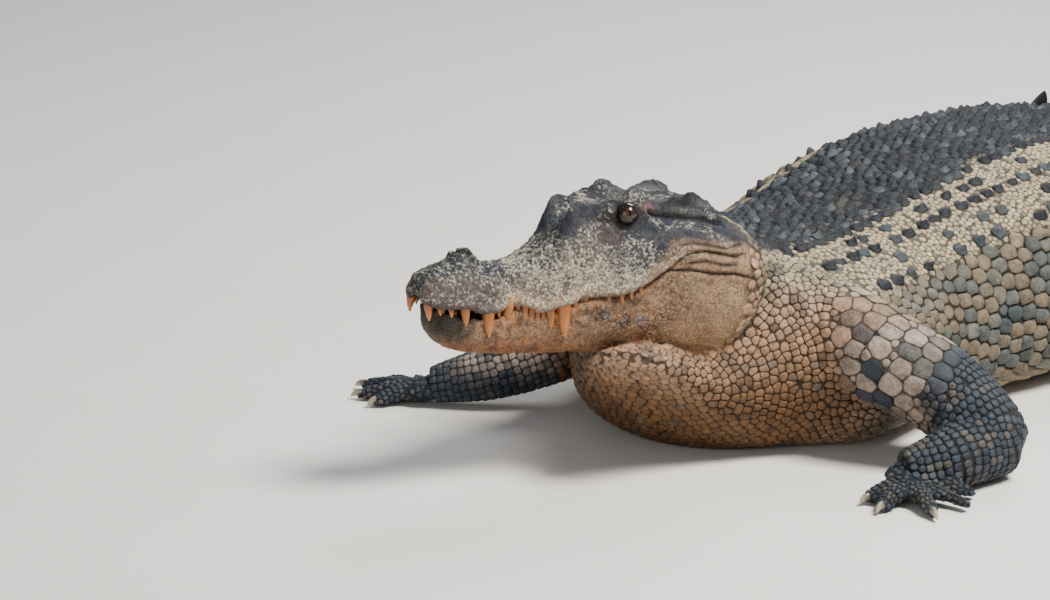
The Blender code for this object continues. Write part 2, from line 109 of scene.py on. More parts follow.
# Middle line of each leg from inside the body out: x, y, z and radius.
FORELEG_LEFT = ((0.20, 0.16, 0.25, 0.120), (0.38, 0.16, 0.215, 0.105), (0.54, 0.20, 0.135, 0.092),
                (0.622, 0.20, 0.074, 0.084), (0.608, 0.095, 0.064, 0.070), (0.553, -0.005, 0.044, 0.046))
FORELEG_RIGHT = ((-0.16, 0.18, 0.24, 0.115), (-0.30, 0.09, 0.19, 0.100), (-0.39, -0.02, 0.115, 0.078),
                 (-0.475, -0.11, 0.072, 0.062), (-0.565, -0.175, 0.044, 0.044))
HIND_LEG = ((0.20, 1.50, 0.22, 0.120), (0.38, 1.47, 0.19, 0.130), (0.58, 1.42, 0.13, 0.105),
            (0.64, 1.49, 0.088, 0.085), (0.62, 1.62, 0.068, 0.064), (0.59, 1.72, 0.048, 0.046))
# Directions of the digits in degrees from straight out sideways, forward positive, and their reach.
HAND_LEFT_FAN = ((112, 0.115), (84, 0.135), (36, 0.155), (0, 0.165), (-34, 0.150))
HAND_RIGHT_FAN = ((62, 0.125), (34, 0.155), (8, 0.175), (-16, 0.165), (-42, 0.140))
FOOT_FAN = ((78, 0.17), (50, 0.21), (22, 0.22), (-6, 0.19))


# ---------------------------------------------------------------- frames of the head and the spine
def turn_matrix(axis, angle):
    c, s = math.cos(angle), math.sin(angle)
    return np.array({"X": ((1, 0, 0), (0, c, -s), (0, s, c)), "Y": ((c, 0, s), (0, 1, 0), (-s, 0, c)),
                     "Z": ((c, -s, 0), (s, c, 0), (0, 0, 1))}[axis])


HEAD_AXES = turn_matrix("Z", -HEAD_TURN) @ turn_matrix("X", -HEAD_PITCH) @ turn_matrix("Y", -HEAD_ROLL)


def from_head(u, q, r):
    """Places given back, left and up from the snout tip, in the body's own frame."""
    return SNOUT_TIP + np.stack(np.broadcast_arrays(q, u, r), -1) @ HEAD_AXES.T


def to_head(points):
    """How far back, left and up from the snout tip each point lies."""
    local = (points - SNOUT_TIP) @ HEAD_AXES
    return local[..., 1], local[..., 0], local[..., 2]


def centre_of_box(node):
    low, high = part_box(node)
    return np.array((low + high) / 2)


ORIGIN = centre_of_box("eye_left") - from_head(*EYE_AT)     # the body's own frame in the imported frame


def spine_points():
    """Stations along the spine, their places and their headings."""
    ys = np.arange(THROAT_START, TAIL_TIP + SPINE_STEP / 2, SPINE_STEP)
    turn = np.radians(SPINE_TURN(ys))
    x = np.concatenate([[0], np.cumsum(-np.sin(turn[:-1]) * SPINE_STEP)])
    y = np.concatenate([[0], np.cumsum(np.cos(turn[:-1]) * SPINE_STEP)])
    start = np.argmin(abs(ys))
    return ys, x - x[start], y - y[start], turn


SPINE = spine_points()


def spine_at(s):
    along, x, y, turn = SPINE
    return np.interp(s, along, x), np.interp(s, along, y), np.interp(s, along, turn)


def to_spine(points):
    """The station along the spine and the offset to the left for each point."""
    along, x, y, turn = SPINE
    s = np.array(points[:, 1], float)
    for _ in range(6):
        px, py, t = np.interp(s, along, x), np.interp(s, along, y), np.interp(s, along, turn)
        s = s + (points[:, 0] - px) * -np.sin(t) + (points[:, 1] - py) * np.cos(t)
    px, py, t = np.interp(s, along, x), np.interp(s, along, y), np.interp(s, along, turn)
    return s, (points[:, 0] - px) * np.cos(t) + (points[:, 1] - py) * np.sin(t)


# ---------------------------------------------------------------- forms
def ramp(low, high, value):
    """0 below low, 1 above high, smooth between."""
    t = np.clip((value - low) / (high - low), 0, 1)
    return t * t * (3 - 2 * t)


def bump(u, q, centre, reach, height):
    """A smooth hill of the given height over a place in a plane."""
    d = ((u - centre[0]) / reach[0])**2 + ((q - centre[1]) / reach[1])**2
    return height * np.exp(-d)


def head_relief(u, q):
    """Nostrils, ridges in front of the eyes, brows and skull table, above the plain vault of the head."""
    side = abs(q)
    rise = bump(u, q, (0.108, 0.0), (0.034, 0.034), 0.028)
    rise = rise + bump(u, side, (0.335, 0.046), (0.036, 0.022), 0.036)
    rise = rise + bump(u, side, (0.394, 0.064), (0.032, 0.022), 0.036)
    rise = rise + bump(u, side, (0.452, 0.073), (0.035, 0.024), 0.056)
    table = 1 / (1 + np.exp((side - 0.098) / 0.006))
    along = 1 / (1 + np.exp((0.47 - u) / 0.014)) / (1 + np.exp((u - 0.645) / 0.010))
    return rise + 0.022 * table * along + bump(u, side, (0.590, 0.085), (0.036, 0.014), 0.026)


def power(value, exponent):
    """A power that keeps the sign of its value."""
    return np.sign(value) * abs(value)**exponent


def upper_head(u, a):
    """The upper head's surface; a goes from 0 at the left lip over the top to pi at the right lip."""
    half, lip, top = LIP_HALF_WIDTH(u), LIP_HEIGHT(u), TOP_HEIGHT(u)
    boxy = 0.72 + 0.20 * np.clip((u - 0.30) / 0.25, 0, 1)
    s = np.clip(np.sin(a), 0, 1)
    q = half * power(np.cos(a), boxy)
    return from_head(u, q, lip + (top - lip) * s**boxy + head_relief(u, q) * s**0.5)


def mouth_height(u):
    """Height of the lower lip: apart from the upper one in front, and one with it behind."""
    return np.where(u < MOUTH_OPEN_TO, np.minimum(LOWER_LIP_HEIGHT(u), LIP_HEIGHT(u)), LIP_HEIGHT(u))


def lower_jaw(u, a):
    """The lower jaw's outer surface; a goes from 0 at the left lip under the chin to pi at the right."""
    half, lip, chin = JAW_HALF_WIDTH(u), mouth_height(u), CHIN_HEIGHT(u)
    s = np.clip(np.sin(a), 0, 1)
    return from_head(u, half * power(np.cos(a), 0.7), lip - (lip - chin) * s**0.75)


def body_surface(s, a, inset=0.0):
    """The surface of neck, trunk and tail; a is 0 on the left flank and turns up over the back."""
    half, top, low = BODY_HALF_WIDTH(s) - inset, BODY_TOP(s) - inset, BODY_FLOOR(s)
    half = np.maximum(half, 0.004)
    top = np.maximum(top, low + 0.01)
    slim = np.clip((0.22 - s) / 0.25, 0, 1)
    settled = np.clip((s + 0.10) / 0.25, 0, 1)
    waist = low + (top - low) * np.where(s < TAIL_START, 0.40, 0.45)
    c, v = np.cos(a), np.sin(a)
    upper = v > 0
    q = half * power(c, np.where(upper, 0.95 + 0.85 * slim, 1.0 - 0.35 * settled))
    r = np.where(upper, waist + (top - waist) * abs(v)**0.9,
                 waist - (waist - low) * abs(v)**(0.80 - 0.20 * settled))
    x, y, t = spine_at(s)
    return np.stack(np.broadcast_arrays(x + q * np.cos(t), y + q * np.sin(t), r), -1)


def smooth_path(points, count):
    """Even rows on a smooth line through a few given rows of place and size."""
    given = np.array(points, float)
    step = np.linalg.norm(np.diff(given[:, :3], axis=0), axis=1)
    place = np.concatenate([[0], np.cumsum(step)])
    wanted = np.linspace(0, place[-1], count)
    return np.stack([profile(*zip(place, column))(wanted) for column in given.T], -1)


def unit(v):
    return v / np.maximum(np.linalg.norm(v, axis=-1, keepdims=True), 1e-9)


def tube_rings(points, radii, sides, flat=1.0, inset=0.0):
    """Rings round a row of points, one to each, for a limb, a digit, a tooth or a claw."""
    points = np.array(points, float)
    along = unit(np.gradient(points, axis=0))
    side = unit(np.cross(along, (0, 0, 1.0)))
    up = np.cross(side, along)
    a = 2 * np.pi * np.arange(sides) / sides
    r = (np.array(radii, float) - inset)[:, None, None]
    return (points[:, None] + side[:, None] * np.cos(a)[None, :, None] * r
            + up[:, None] * np.sin(a)[None, :, None] * r * flat)


# ---------------------------------------------------------------- mesh helpers
def mesh_of(name, verts, faces):
    mesh = bpy.data.meshes.new(name)
    mesh.from_pydata(np.asarray(verts).reshape(-1, 3).tolist(), [], faces)
    return mesh


def loft(rings):
    """Vertices and faces of a closed skin over a row of equal rings."""
    rows, count = rings.shape[:2]
    faces = [list(range(count))[::-1], [(rows - 1) * count + i for i in range(count)]]
    for r in range(rows - 1):
        for i in range(count):
            j = (i + 1) % count
            faces.append([r * count + i, r * count + j, (r + 1) * count + j, (r + 1) * count + i])
    return rings.reshape(-1, 3), faces


def gather(parts):
    """Many closed shapes as one list of vertices and faces."""
    verts, faces, start = [], [], 0
    for v, f in parts:
        verts.append(v)
        faces += [[start + i for i in face] for face in f]
        start += len(v)
    return np.concatenate(verts), faces


def placed(name, data):
    o = bpy.data.objects.new(name, data)
    bpy.context.scene.collection.objects.link(o)
    return o


def hand_over(o, material, slot_name, *replaced):
    o.data.materials.append(material)
    o.data.shade_smooth()
    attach(o, "root")
    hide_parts(*replaced)


def apply_modifiers(o):
    graph = bpy.context.evaluated_depsgraph_get()
    graph.update()
    mesh = bpy.data.meshes.new_from_object(o.evaluated_get(graph))
    old = o.data
    o.modifiers.clear()
    o.data = mesh
    bpy.data.meshes.remove(old)


# ---------------------------------------------------------------- one skin over the whole animal
HEAD_MIDDLE = from_head(0.34, 0.0, 0.03)
HEAD_RATE, BODY_RATE = 2.4, 0.55         # how much finer than the voxel the head and the rest are meshed
FINE_TO, COARSE_FROM = 0.37, 0.80        # distances from the middle of the head
VOXEL = 0.0075
SKIN_TRIANGLES = 188000
COAT_DEPTH = profile((-0.38, 0.003), (-0.10, 0.004), (0.15, 0.007), (1.60, 0.007), (3.92, 0.003))
LIMB_COAT = 0.004


def stretch_table():
    d = np.linspace(0, 6, 3001)
    rate = BODY_RATE + (HEAD_RATE - BODY_RATE) * (1 - ramp(FINE_TO, COARSE_FROM, d))
    return d, np.concatenate([[0], np.cumsum((rate[1:] + rate[:-1]) / 2 * np.diff(d))])


STRETCH = stretch_table()


def stretched(points, back=False):
    """Points spread out from the middle of the head, so that even voxels give it more of the mesh."""
    way = points - HEAD_MIDDLE
    d = np.linalg.norm(way, axis=1, keepdims=True)
    near, far = STRETCH
    wanted = np.interp(d, far, near) if back else np.interp(d, near, far)
    return HEAD_MIDDLE + way / np.maximum(d, 1e-9) * wanted


def upper_head_solid():
    u = np.linspace(0.014, 0.71, 110)[:, None]
    over = np.linspace(0, math.pi, 80)[None, :]
    under = np.linspace(math.pi, 0, 26)[1:-1][None, :]
    half, lip = LIP_HALF_WIDTH(u), LIP_HEIGHT(u)
    q = half * np.cos(under)
    palate = from_head(u, q, lip + 0.012 * np.sin(under))
    return loft(np.concatenate([upper_head(u, over), palate], axis=1))


def jaw_solid():
    u = np.linspace(JAW_START, JAW_LENGTH, 110)[:, None]
    below = np.linspace(0, math.pi, 60)[None, :]
    across = np.linspace(math.pi, 0, 24)[1:-1][None, :]
    shut = ramp(MOUTH_OPEN_TO - 0.02, MOUTH_OPEN_TO + 0.01, u)
    q = JAW_HALF_WIDTH(u) * np.cos(across) * (1 - 0.12 * shut)
    dip = (1 - shut) * 0.016 * np.sin(across)**4
    floor = mouth_height(u) + 0.004 * (1 - shut) - dip + 0.016 * shut
    return loft(np.concatenate([lower_jaw(u, below), from_head(u, q, floor)], axis=1))


def tongue_solid():
    """The flesh on the floor of the mouth, which fills most of the gap between the jaws."""
    u = np.linspace(0.047, 0.26, 40)[:, None]
    a = 2 * np.pi * np.arange(40)[None, :] / 40
    low, high = LOWER_LIP_HEIGHT(u) - 0.022, LIP_HEIGHT(u) + 0.010
    narrow = np.sqrt(np.clip((u - 0.044) / 0.05, 0, 1))
    half = JAW_HALF_WIDTH(u) * 0.76 * narrow
    middle, tall = (low + high) / 2, (high - low) / 2 * np.sqrt(np.clip((u - 0.044) / 0.03, 0, 1))
    return loft(from_head(u, half * np.cos(a), middle + tall * np.sin(a)))


def body_solid():
    s = np.concatenate([np.linspace(THROAT_START, 0.30, 60), np.linspace(0.32, TAIL_TIP - 0.01, 150)])
    a = 2 * np.pi * (np.arange(96) + 0.5) / 96
    return loft(body_surface(s[:, None], a[None, :], COAT_DEPTH(s)[:, None]))


LIMBS = [(name, side) for name in ("hand", "foot") for side in (1, -1)]


def heading(side, degrees):
    a = math.radians(degrees)
    return np.array((side * math.cos(a), -math.sin(a), 0.0))


def leg_points(name, side):
    if name == "hand":
        return np.array(FORELEG_LEFT if side == 1 else FORELEG_RIGHT)
    return np.array(HIND_LEG) * (side, 1, 1, 1)


def leg_fan(name, side):
    if name == "hand":
        return HAND_LEFT_FAN if side == 1 else HAND_RIGHT_FAN
    return FOOT_FAN


def digit_line(name, side, number):
    """Middle line of a digit: places and radii from the palm to the root of the claw."""
    fan = leg_fan(name, side)
    wrist = leg_points(name, side)[-1][:3]
    mean = heading(side, sum(a for a, _ in fan) / len(fan))
    middle = wrist + mean * max(length for _, length in fan) * 0.18
    angle, length = fan[number]
    out = heading(side, angle)
    thick = (0.021 if name == "hand" else 0.026) * (1.0 if number < 3 else 0.8)
    along = np.array((0.10, 0.30, 0.48, 0.62, 0.76, 0.86, 0.93))
    height = np.array((0.026, 0.026, 0.024, 0.021, 0.016, 0.012, 0.009))
    joints = np.array((1.0, 0.94, 1.04, 0.88, 0.92, 0.70, 0.42))
    places = middle * (1, 1, 0) + out * length * along[:, None]
    return places + np.array((0, 0, 1.0)) * height[:, None], thick * joints, out


def limb(path, sides, flat=1.0, inset=0.0):
    """A closed tube over rows of place and radius."""
    return loft(tube_rings(path[:, :3], path[:, 3], sides, flat, inset))


def web(side, root, one, other, share):
    """The fold of skin between two neighbouring digits."""
    (a0, l0), (a1, l1) = one, other
    out = heading(side, (a0 + a1) / 2)
    far = min(l0, l1) * share
    line = np.array([np.append((root + out * far * k)[:2], 0.016) for k in (0.2, 0.6, 1.0)])
    spread = math.radians(abs(a0 - a1)) * 0.55
    line = smooth_path(np.column_stack([line, [far * k * spread for k in (0.4, 0.7, 0.9)]]), 10)
    return limb(line, 20, flat=0.007 / (far * spread * 0.8))


def leg_solids(name, side):
    """One leg: its limb, its palm or sole, its digits and the webs between them."""
    path = smooth_path(leg_points(name, side), 44)
    fan, wrist = leg_fan(name, side), path[-1][:3]
    reach = max(length for _, length in fan)
    mean = heading(side, sum(a for a, _ in fan) / len(fan))
    palm = np.array([np.append((wrist + mean * reach * k)[:2], h)
                     for k, h in ((-0.10, 0.042), (0.18, 0.030), (0.42, 0.020))])
    sole = smooth_path(np.column_stack([palm, (0.046, reach * 0.32, reach * 0.24)]), 14)
    yield limb(path, 30, inset=LIMB_COAT)
    yield limb(sole, 30, flat=0.50, inset=LIMB_COAT)
    for i in range(len(fan)):
        places, radii, _ = digit_line(name, side, i)
        yield limb(smooth_path(np.column_stack([places, radii]), 30), 18, inset=0.0015)
    for one, other in zip(fan, fan[1:]):
        yield web(side, palm[1], one, other, 0.34 if name == "hand" else 0.62)


COLOUR_EDGE = (1.08, 1.14)       # where the head's colours end, as parts of the jaw's own outline


def head_share(co, near=1.06, far=1.13):
    """1 on the head and jaws, 0 on neck and throat; the jaw's own outline decides under the mouth."""
    u, q, r = to_head(co)
    along = np.clip(u, JAW_START, JAW_LENGTH)
    lip, chin = LIP_HEIGHT(along), CHIN_HEIGHT(along)
    wide = (abs(q) / JAW_HALF_WIDTH(along))**(2 / 0.7)
    deep = np.clip((lip - r) / (lip - chin), 0, 9)**(2 / 0.75)
    outside = (wide + deep)**0.36
    below = ramp(-0.004, 0.004, lip - r)
    on_jaw = 1 - ramp(near, far, outside)
    in_front = (u < 0.30) & (r > -0.12) & (abs(q) < 0.10)
    return (1 - ramp(0.65, 0.70, u)) * np.where(in_front, 1.0, 1 - below + below * on_jaw)


def read(collection, name, width, kind=np.float32):
    """One property of every item of a mesh's collection, as rows of the given width."""
    flat = np.empty(len(collection) * width, kind)
    collection.foreach_get(name, flat)
    return flat.reshape(-1, width)


def read_verts(mesh):
    return read(mesh.vertices, "co", 3).astype(float)


def write_verts(mesh, co):
    mesh.vertices.foreach_set("co", np.asarray(co, np.float32).ravel())
    mesh.update()


def relax(co, edges, weight, rounds):
    """Draw each vertex towards the mean of its neighbours, by its weight, a number of times."""
    one, two = edges.T
    count = np.bincount(np.concatenate([one, two]), minlength=len(co))[:, None]
    for _ in range(rounds):
        total = np.stack([np.bincount(one, co[two, k], len(co)) + np.bincount(two, co[one, k], len(co))
                          for k in range(3)], -1)
        co = co + (total / np.maximum(count, 1) - co) * weight[:, None]
    return co


def lumps(points, size, seed):
    """Smooth noise between about -1 and 1 with features of the given size."""
    shift = np.array((seed * 17.3, seed * 5.1, seed * 9.7))
    return np.array([noise.noise(Vector(p)) for p in (points / size + shift).tolist()])


def line_distance(x, y, line):
    """Distance in a plane from points to a broken line."""
    best = np.full(len(x), 1e9)
    for (x0, y0), (x1, y1) in zip(line, line[1:]):
        dx, dy = x1 - x0, y1 - y0
        t = np.clip(((x - x0) * dx + (y - y0) * dy) / (dx * dx + dy * dy), 0, 1)
        best = np.minimum(best, np.hypot(x - x0 - t * dx, y - y0 - t * dy))
    return best


UPPER_TEETH = ((0.024, 0.030), (0.044, 0.014), (0.066, 0.016), (0.095, 0.034), (0.150, 0.046),
               (0.176, 0.013), (0.216, 0.017), (0.229, 0.021), (0.242, 0.022), (0.254, 0.018), (0.266, 0.014),
               (0.280, 0.036), (0.308, 0.058), (0.332, 0.020), (0.354, 0.016), (0.400, 0.014), (0.424, 0.015),
               (0.441, 0.013), (0.458, 0.011))
LOWER_TEETH = ((0.058, 0.014), (0.080, 0.013), (0.108, 0.012), (0.196, 0.036), (0.347, 0.012), (0.378, 0.010))

# Creases on the side of the head, as lines of (back from the snout tip, up).
MOUTH_CREASE = [(u, float(LIP_HEIGHT(u))) for u in np.linspace(MOUTH_OPEN_TO - 0.01, 0.50, 24)]
MOUTH_CREASE += [(0.524, 0.102), (0.545, 0.120), (0.574, 0.126), (0.610, 0.122), (0.638, 0.119),
                 (0.655, 0.125)]
CORNER_FOLDS = ([(0.505, 0.080), (0.550, 0.086), (0.592, 0.082), (0.633, 0.085), (0.682, 0.076)],
                [(0.507, 0.112), (0.522, 0.131), (0.548, 0.139), (0.580, 0.138), (0.612, 0.134),
                 (0.650, 0.142)],
                [(0.545, 0.100), (0.575, 0.106), (0.610, 0.101), (0.635, 0.104)])
EAR_SLIT = [(0.477, 0.195), (0.524, 0.184), (0.560, 0.181), (0.601, 0.182), (0.640, 0.174)]
EAR_PLATE = [(0.520, 0.205), (0.605, 0.203)]
# Lines seen from above, as (back from the snout tip, out from the middle).
NOSTRIL = [(0.090, 0.006), (0.098, 0.014), (0.110, 0.017), (0.119, 0.012)]
SNOUT_RIDGE = [(0.150, 0.020), (0.205, 0.026), (0.270, 0.036), (0.330, 0.046)]
FOLD_DEPTHS = (0.0050, 0.0024, 0.0014)
EYE_BALL = 0.0245

# Bosses and dips on the top of the head: place, reach, and height on its left and right sides.
KNOBS = (((0.570, 0.086), (0.017, 0.016), (0.014, 0.008)),
         ((0.538, 0.084), (0.014, 0.014), (0.012, 0.006)),
         ((0.492, 0.080), (0.022, 0.016), (-0.010, -0.010)),
         ((0.330, 0.045), (0.022, 0.020), (0.012, 0.012)),
         ((0.298, 0.045), (0.010, 0.022), (-0.006, -0.006)),
         ((0.398, 0.080), (0.012, 0.012), (0.010, 0.010)),
         ((0.092, 0.010), (0.014, 0.024), (0.005, 0.005)))


def from_eye(u, r):
    return np.hypot(u - EYE_AT[0], r - EYE_AT[2])


def snout_droop(u):
    """How far the front of the upper lip hangs below its plain solid."""
    return 0.016 * (1 - ramp(0.045, 0.110, u))


def hug(distance, width):
    """1 on a line or a place, falling smoothly to 0 within about two widths of it."""
    return np.exp(-(distance / width)**2)


def sculpt_mouth(u, q, r, side, on_head):
    """How far the lips, gums, corner folds and cheek stand out from the plain head."""
    flank = ramp(0.45, 0.75, side / LIP_HALF_WIDTH(u)) * on_head
    from_lip = r - LIP_HEIGHT(u)
    shut = ramp(0.19, 0.22, u) * (1 - ramp(0.50, 0.54, u))
    front = ramp(-0.01, 0.02, u) * (1 - ramp(0.47, 0.52, u))
    lift = np.zeros(len(u))
    lift -= 0.0085 * hug(line_distance(u, r, MOUTH_CREASE), 0.0042) * flank
    lift += 0.0038 * hug(from_lip - 0.013, 0.009) * flank * front
    lift += 0.0040 * hug(from_lip + 0.015, 0.010) * flank * shut
    for place, length in UPPER_TEETH:
        root = ((u - place) / (0.009 + 0.08 * length))**2 + ((from_lip - 0.016) / 0.013)**2
        lift += (0.002 + 0.075 * length) * np.exp(-root) * flank
    for place, length in LOWER_TEETH:
        root = ((u - place) / (0.009 + 0.08 * length))**2
        root = root + ((r - mouth_height(np.maximum(u, 0.04)) + 0.016) / 0.013)**2
        lift += (0.001 + 0.075 * length) * np.exp(-root) * flank
    for fold, deep in zip(CORNER_FOLDS, FOLD_DEPTHS):
        away = line_distance(u, r + 0.0015 * lumps(np.stack([u, q, r], -1), 0.012, 7), fold)
        lift += (0.0016 * hug(away - 0.008, 0.006) - deep * hug(away, 0.0030)) * flank
    lift += bump(u, r, (0.615, 0.010), (0.070, 0.055), 0.012) * flank
    return lift


def sculpt_crown(lift, u, q, r, side, on_head, above):
    """Nostrils, snout ridges, ear slits, the boss before the eye and rough skin, added to the lift."""
    slit = line_distance(u, side, NOSTRIL)
    lift -= 0.0095 * hug(slit, 0.0036) * above
    lift += 0.0030 * hug(slit - 0.009, 0.004) * above
    lift += 0.0065 * hug(line_distance(u, side, SNOUT_RIDGE), 0.010) * above
    groove = ramp(0.15, 0.20, u) * (1 - ramp(0.32, 0.37, u))
    lift -= 0.0045 * hug(side, 0.010) * above * groove
    beside = ramp(0.050, 0.070, side) * on_head
    lift -= 0.010 * hug(line_distance(u, r, EAR_SLIT), 0.0040) * beside
    lift += 0.0045 * hug(line_distance(u, r, EAR_PLATE), 0.009) * beside

    rough = on_head * (1 - hug(from_eye(u, r), 0.035))
    place = np.stack([u, q, r], -1)
    pitted = 0.0046 * lumps(place, 0.030, 1) + 0.0036 * lumps(place, 0.012, 2)
    lift += pitted * rough * (0.35 + 0.65 * above)
    lift += 0.0016 * lumps(place, 0.0065, 3) * rough
    boss = np.hypot((u - 0.392) / 0.019, (r - 0.181) / 0.016)
    lift += (0.0080 * np.exp(-boss**3) - 0.0020 * hug(boss - 1.35, 0.22)) * beside
    return lift


def sculpt_head(co, normal):
    """Lips, creases, eyelids, nostrils, ear slits and the rough skin of the head."""
    u, q, r = to_head(co)
    side = abs(q)
    on_head = head_share(co)
    upward = normal @ HEAD_AXES[:, 2]
    lift = sculpt_mouth(u, q, r, side, on_head)
    lift = sculpt_crown(lift, u, q, r, side, on_head, ramp(0.3, 0.8, upward) * on_head)
    rise = sum(bump(u, side, place, reach, 1.0) * np.where(q > 0, *heights)
               for place, reach, heights in KNOBS)
    rise = rise * ramp(0.05, 0.35, upward) * on_head
    between_lips = (LIP_HEIGHT(u) + LOWER_LIP_HEIGHT(u)) / 2
    above_gap = ramp(-0.004, 0.004, r - between_lips)
    rise = rise - snout_droop(u) * above_gap * (1 - ramp(0.000, 0.045, r - LIP_HEIGHT(u))) * on_head
    co = co + normal * lift[:, None] + rise[:, None] * HEAD_AXES[:, 2]
    for way in (1, -1):
        co = shape_eyelids(co, way)
    return co


def eye_frame(way):
    """Centre of an eyeball and its outward, backward and upward directions."""
    centre = from_head(EYE_AT[0], way * EYE_AT[1], EYE_AT[2])
    out = unit(HEAD_AXES @ np.array((way * 0.93, -0.26, 0.24)))
    back = unit(HEAD_AXES @ np.array((0, 1.0, 0.10)) - out * (out @ (HEAD_AXES @ np.array((0, 1.0, 0.10)))))
    up = np.cross(out, back) * -way
    return centre, out, back, up if up[2] > 0 else -up


LID_LENGTH, LID_HEIGHT = 0.0180, 0.0148


def shape_eyelids(co, way):
    """Press the skin round an eyeball into lids, with an almond opening that shows the eye."""
    centre, out, back, up = eye_frame(way)
    away = co - centre
    d = np.linalg.norm(away, axis=1)
    x, y, z = away @ back, away @ up, away @ out
    angle_x, angle_y = np.arctan2(x, np.maximum(z, 1e-4)), np.arctan2(y, np.maximum(z, 1e-4))
    almond = np.sqrt((angle_x * EYE_BALL / LID_LENGTH)**2 + (angle_y * EYE_BALL / LID_HEIGHT)**2)
    near = (d < 0.055) & (z > -0.004)
    rim, fold = hug(almond - 1.12, 0.10), hug(almond - 1.50, 0.09)
    lid = EYE_BALL + 0.0016 + 0.0026 * rim - 0.0022 * fold + 0.004 * np.clip(almond - 1.2, 0, 1)
    target = np.where(almond < 0.97, EYE_BALL - 0.006, lid)
    keep = ramp(1.45, 2.05, almond)
    wanted = np.where(near, target * (1 - keep) + d * keep, d)
    return centre + away / np.maximum(d, 1e-6)[:, None] * wanted[:, None]


def triangle_count(mesh):
    return sum(len(p.vertices) - 2 for p in mesh.polygons)


THROAT_MIDDLE = np.array((0.10, -0.36, 0.30))


def smoothed(co, edges):
    """The skin's steps drawn smooth: a little on the head, more behind it and most at the throat."""
    on_head = head_share(co)
    co = relax(co, edges, np.full(len(co), 0.5), 3)
    co = relax(co, edges, 0.5 * (1 - on_head), 12)
    throat = hug(np.linalg.norm(co - THROAT_MIDDLE, axis=1), 0.13) * (1 - on_head)
    return relax(co, edges, 0.6 * throat, 60)


def build_skin():
    """One closed skin over head, jaw, body and legs, sculpted and brought down to size."""
    solids = [upper_head_solid(), jaw_solid(), tongue_solid(), body_solid()]
    for name, side in LIMBS:
        solids += list(leg_solids(name, side))
    verts, faces = gather(solids)
    o = placed("skin", mesh_of("skin", stretched(verts), faces))
    voxels = o.modifiers.new("voxels", "REMESH")
    voxels.mode = "VOXEL"
    voxels.voxel_size = VOXEL
    apply_modifiers(o)
    edges = read(o.data.edges, "vertices", 2, np.int32)
    co = smoothed(stretched(read_verts(o.data), back=True), edges)
    write_verts(o.data, co)
    co = sculpt_head(co, read(o.data.vertex_normals, "vector", 3).astype(float))
    co[:, 2] = np.maximum(co[:, 2], 0.0)
    write_verts(o.data, co)
    fewer = o.modifiers.new("fewer", "DECIMATE")
    fewer.ratio = min(1.0, SKIN_TRIANGLES / triangle_count(o.data))
    apply_modifiers(o)
    return o


# ---------------------------------------------------------------- scales
RING_FINE = ((1.04, None), (1.00, 0.12), (0.93, 0.52), (0.72, 0.84), (0.36, 0.98))
RING_ROUND = ((1.04, None), (0.98, 0.36), (0.80, 0.78), (0.42, 0.97))
RING_SMALL = ((1.04, None), (0.96, 0.55), (0.60, 0.93))
SINK = 0.004                    # how deep the root of a scale sits in the skin
GROOVE = 0.0006                 # how far the rim of a scale stays back from the line to its neighbour
NEIGHBOURS = 10                 # how many others bound the outline of a scale
SPOT_SIZE = 0.0013              # half a scale's width on the flat picture of the hide
ROOM = 0.042                    # size of the boxes scales are looked up in, no less than two of the widest
BOXES_ROUND = [(x, y, z) for x in (-1, 0, 1) for y in (-1, 0, 1) for z in (-1, 0, 1)]
BAND_START = 0.105              # part of the way round from the spine where the left sandy band begins
BAND_START_RIGHT = 0.210


class Ground:
    """The finished skin, asked for the nearest place on it."""

    def __init__(self, mesh):
        self.co = read_verts(mesh)
        self.faces = [tuple(p.vertices) for p in mesh.polygons]
        self.tree = BVHTree.FromPolygons(self.co.tolist(), self.faces)

    def snap(self, points):
        place, normal, away = np.empty((len(points), 3)), np.empty((len(points), 3)), np.empty(len(points))
        for i, p in enumerate(points.tolist()):
            hit, way, _, d = self.tree.find_nearest(p)
            place[i], normal[i], away[i] = hit, way, d
        return place, normal, away


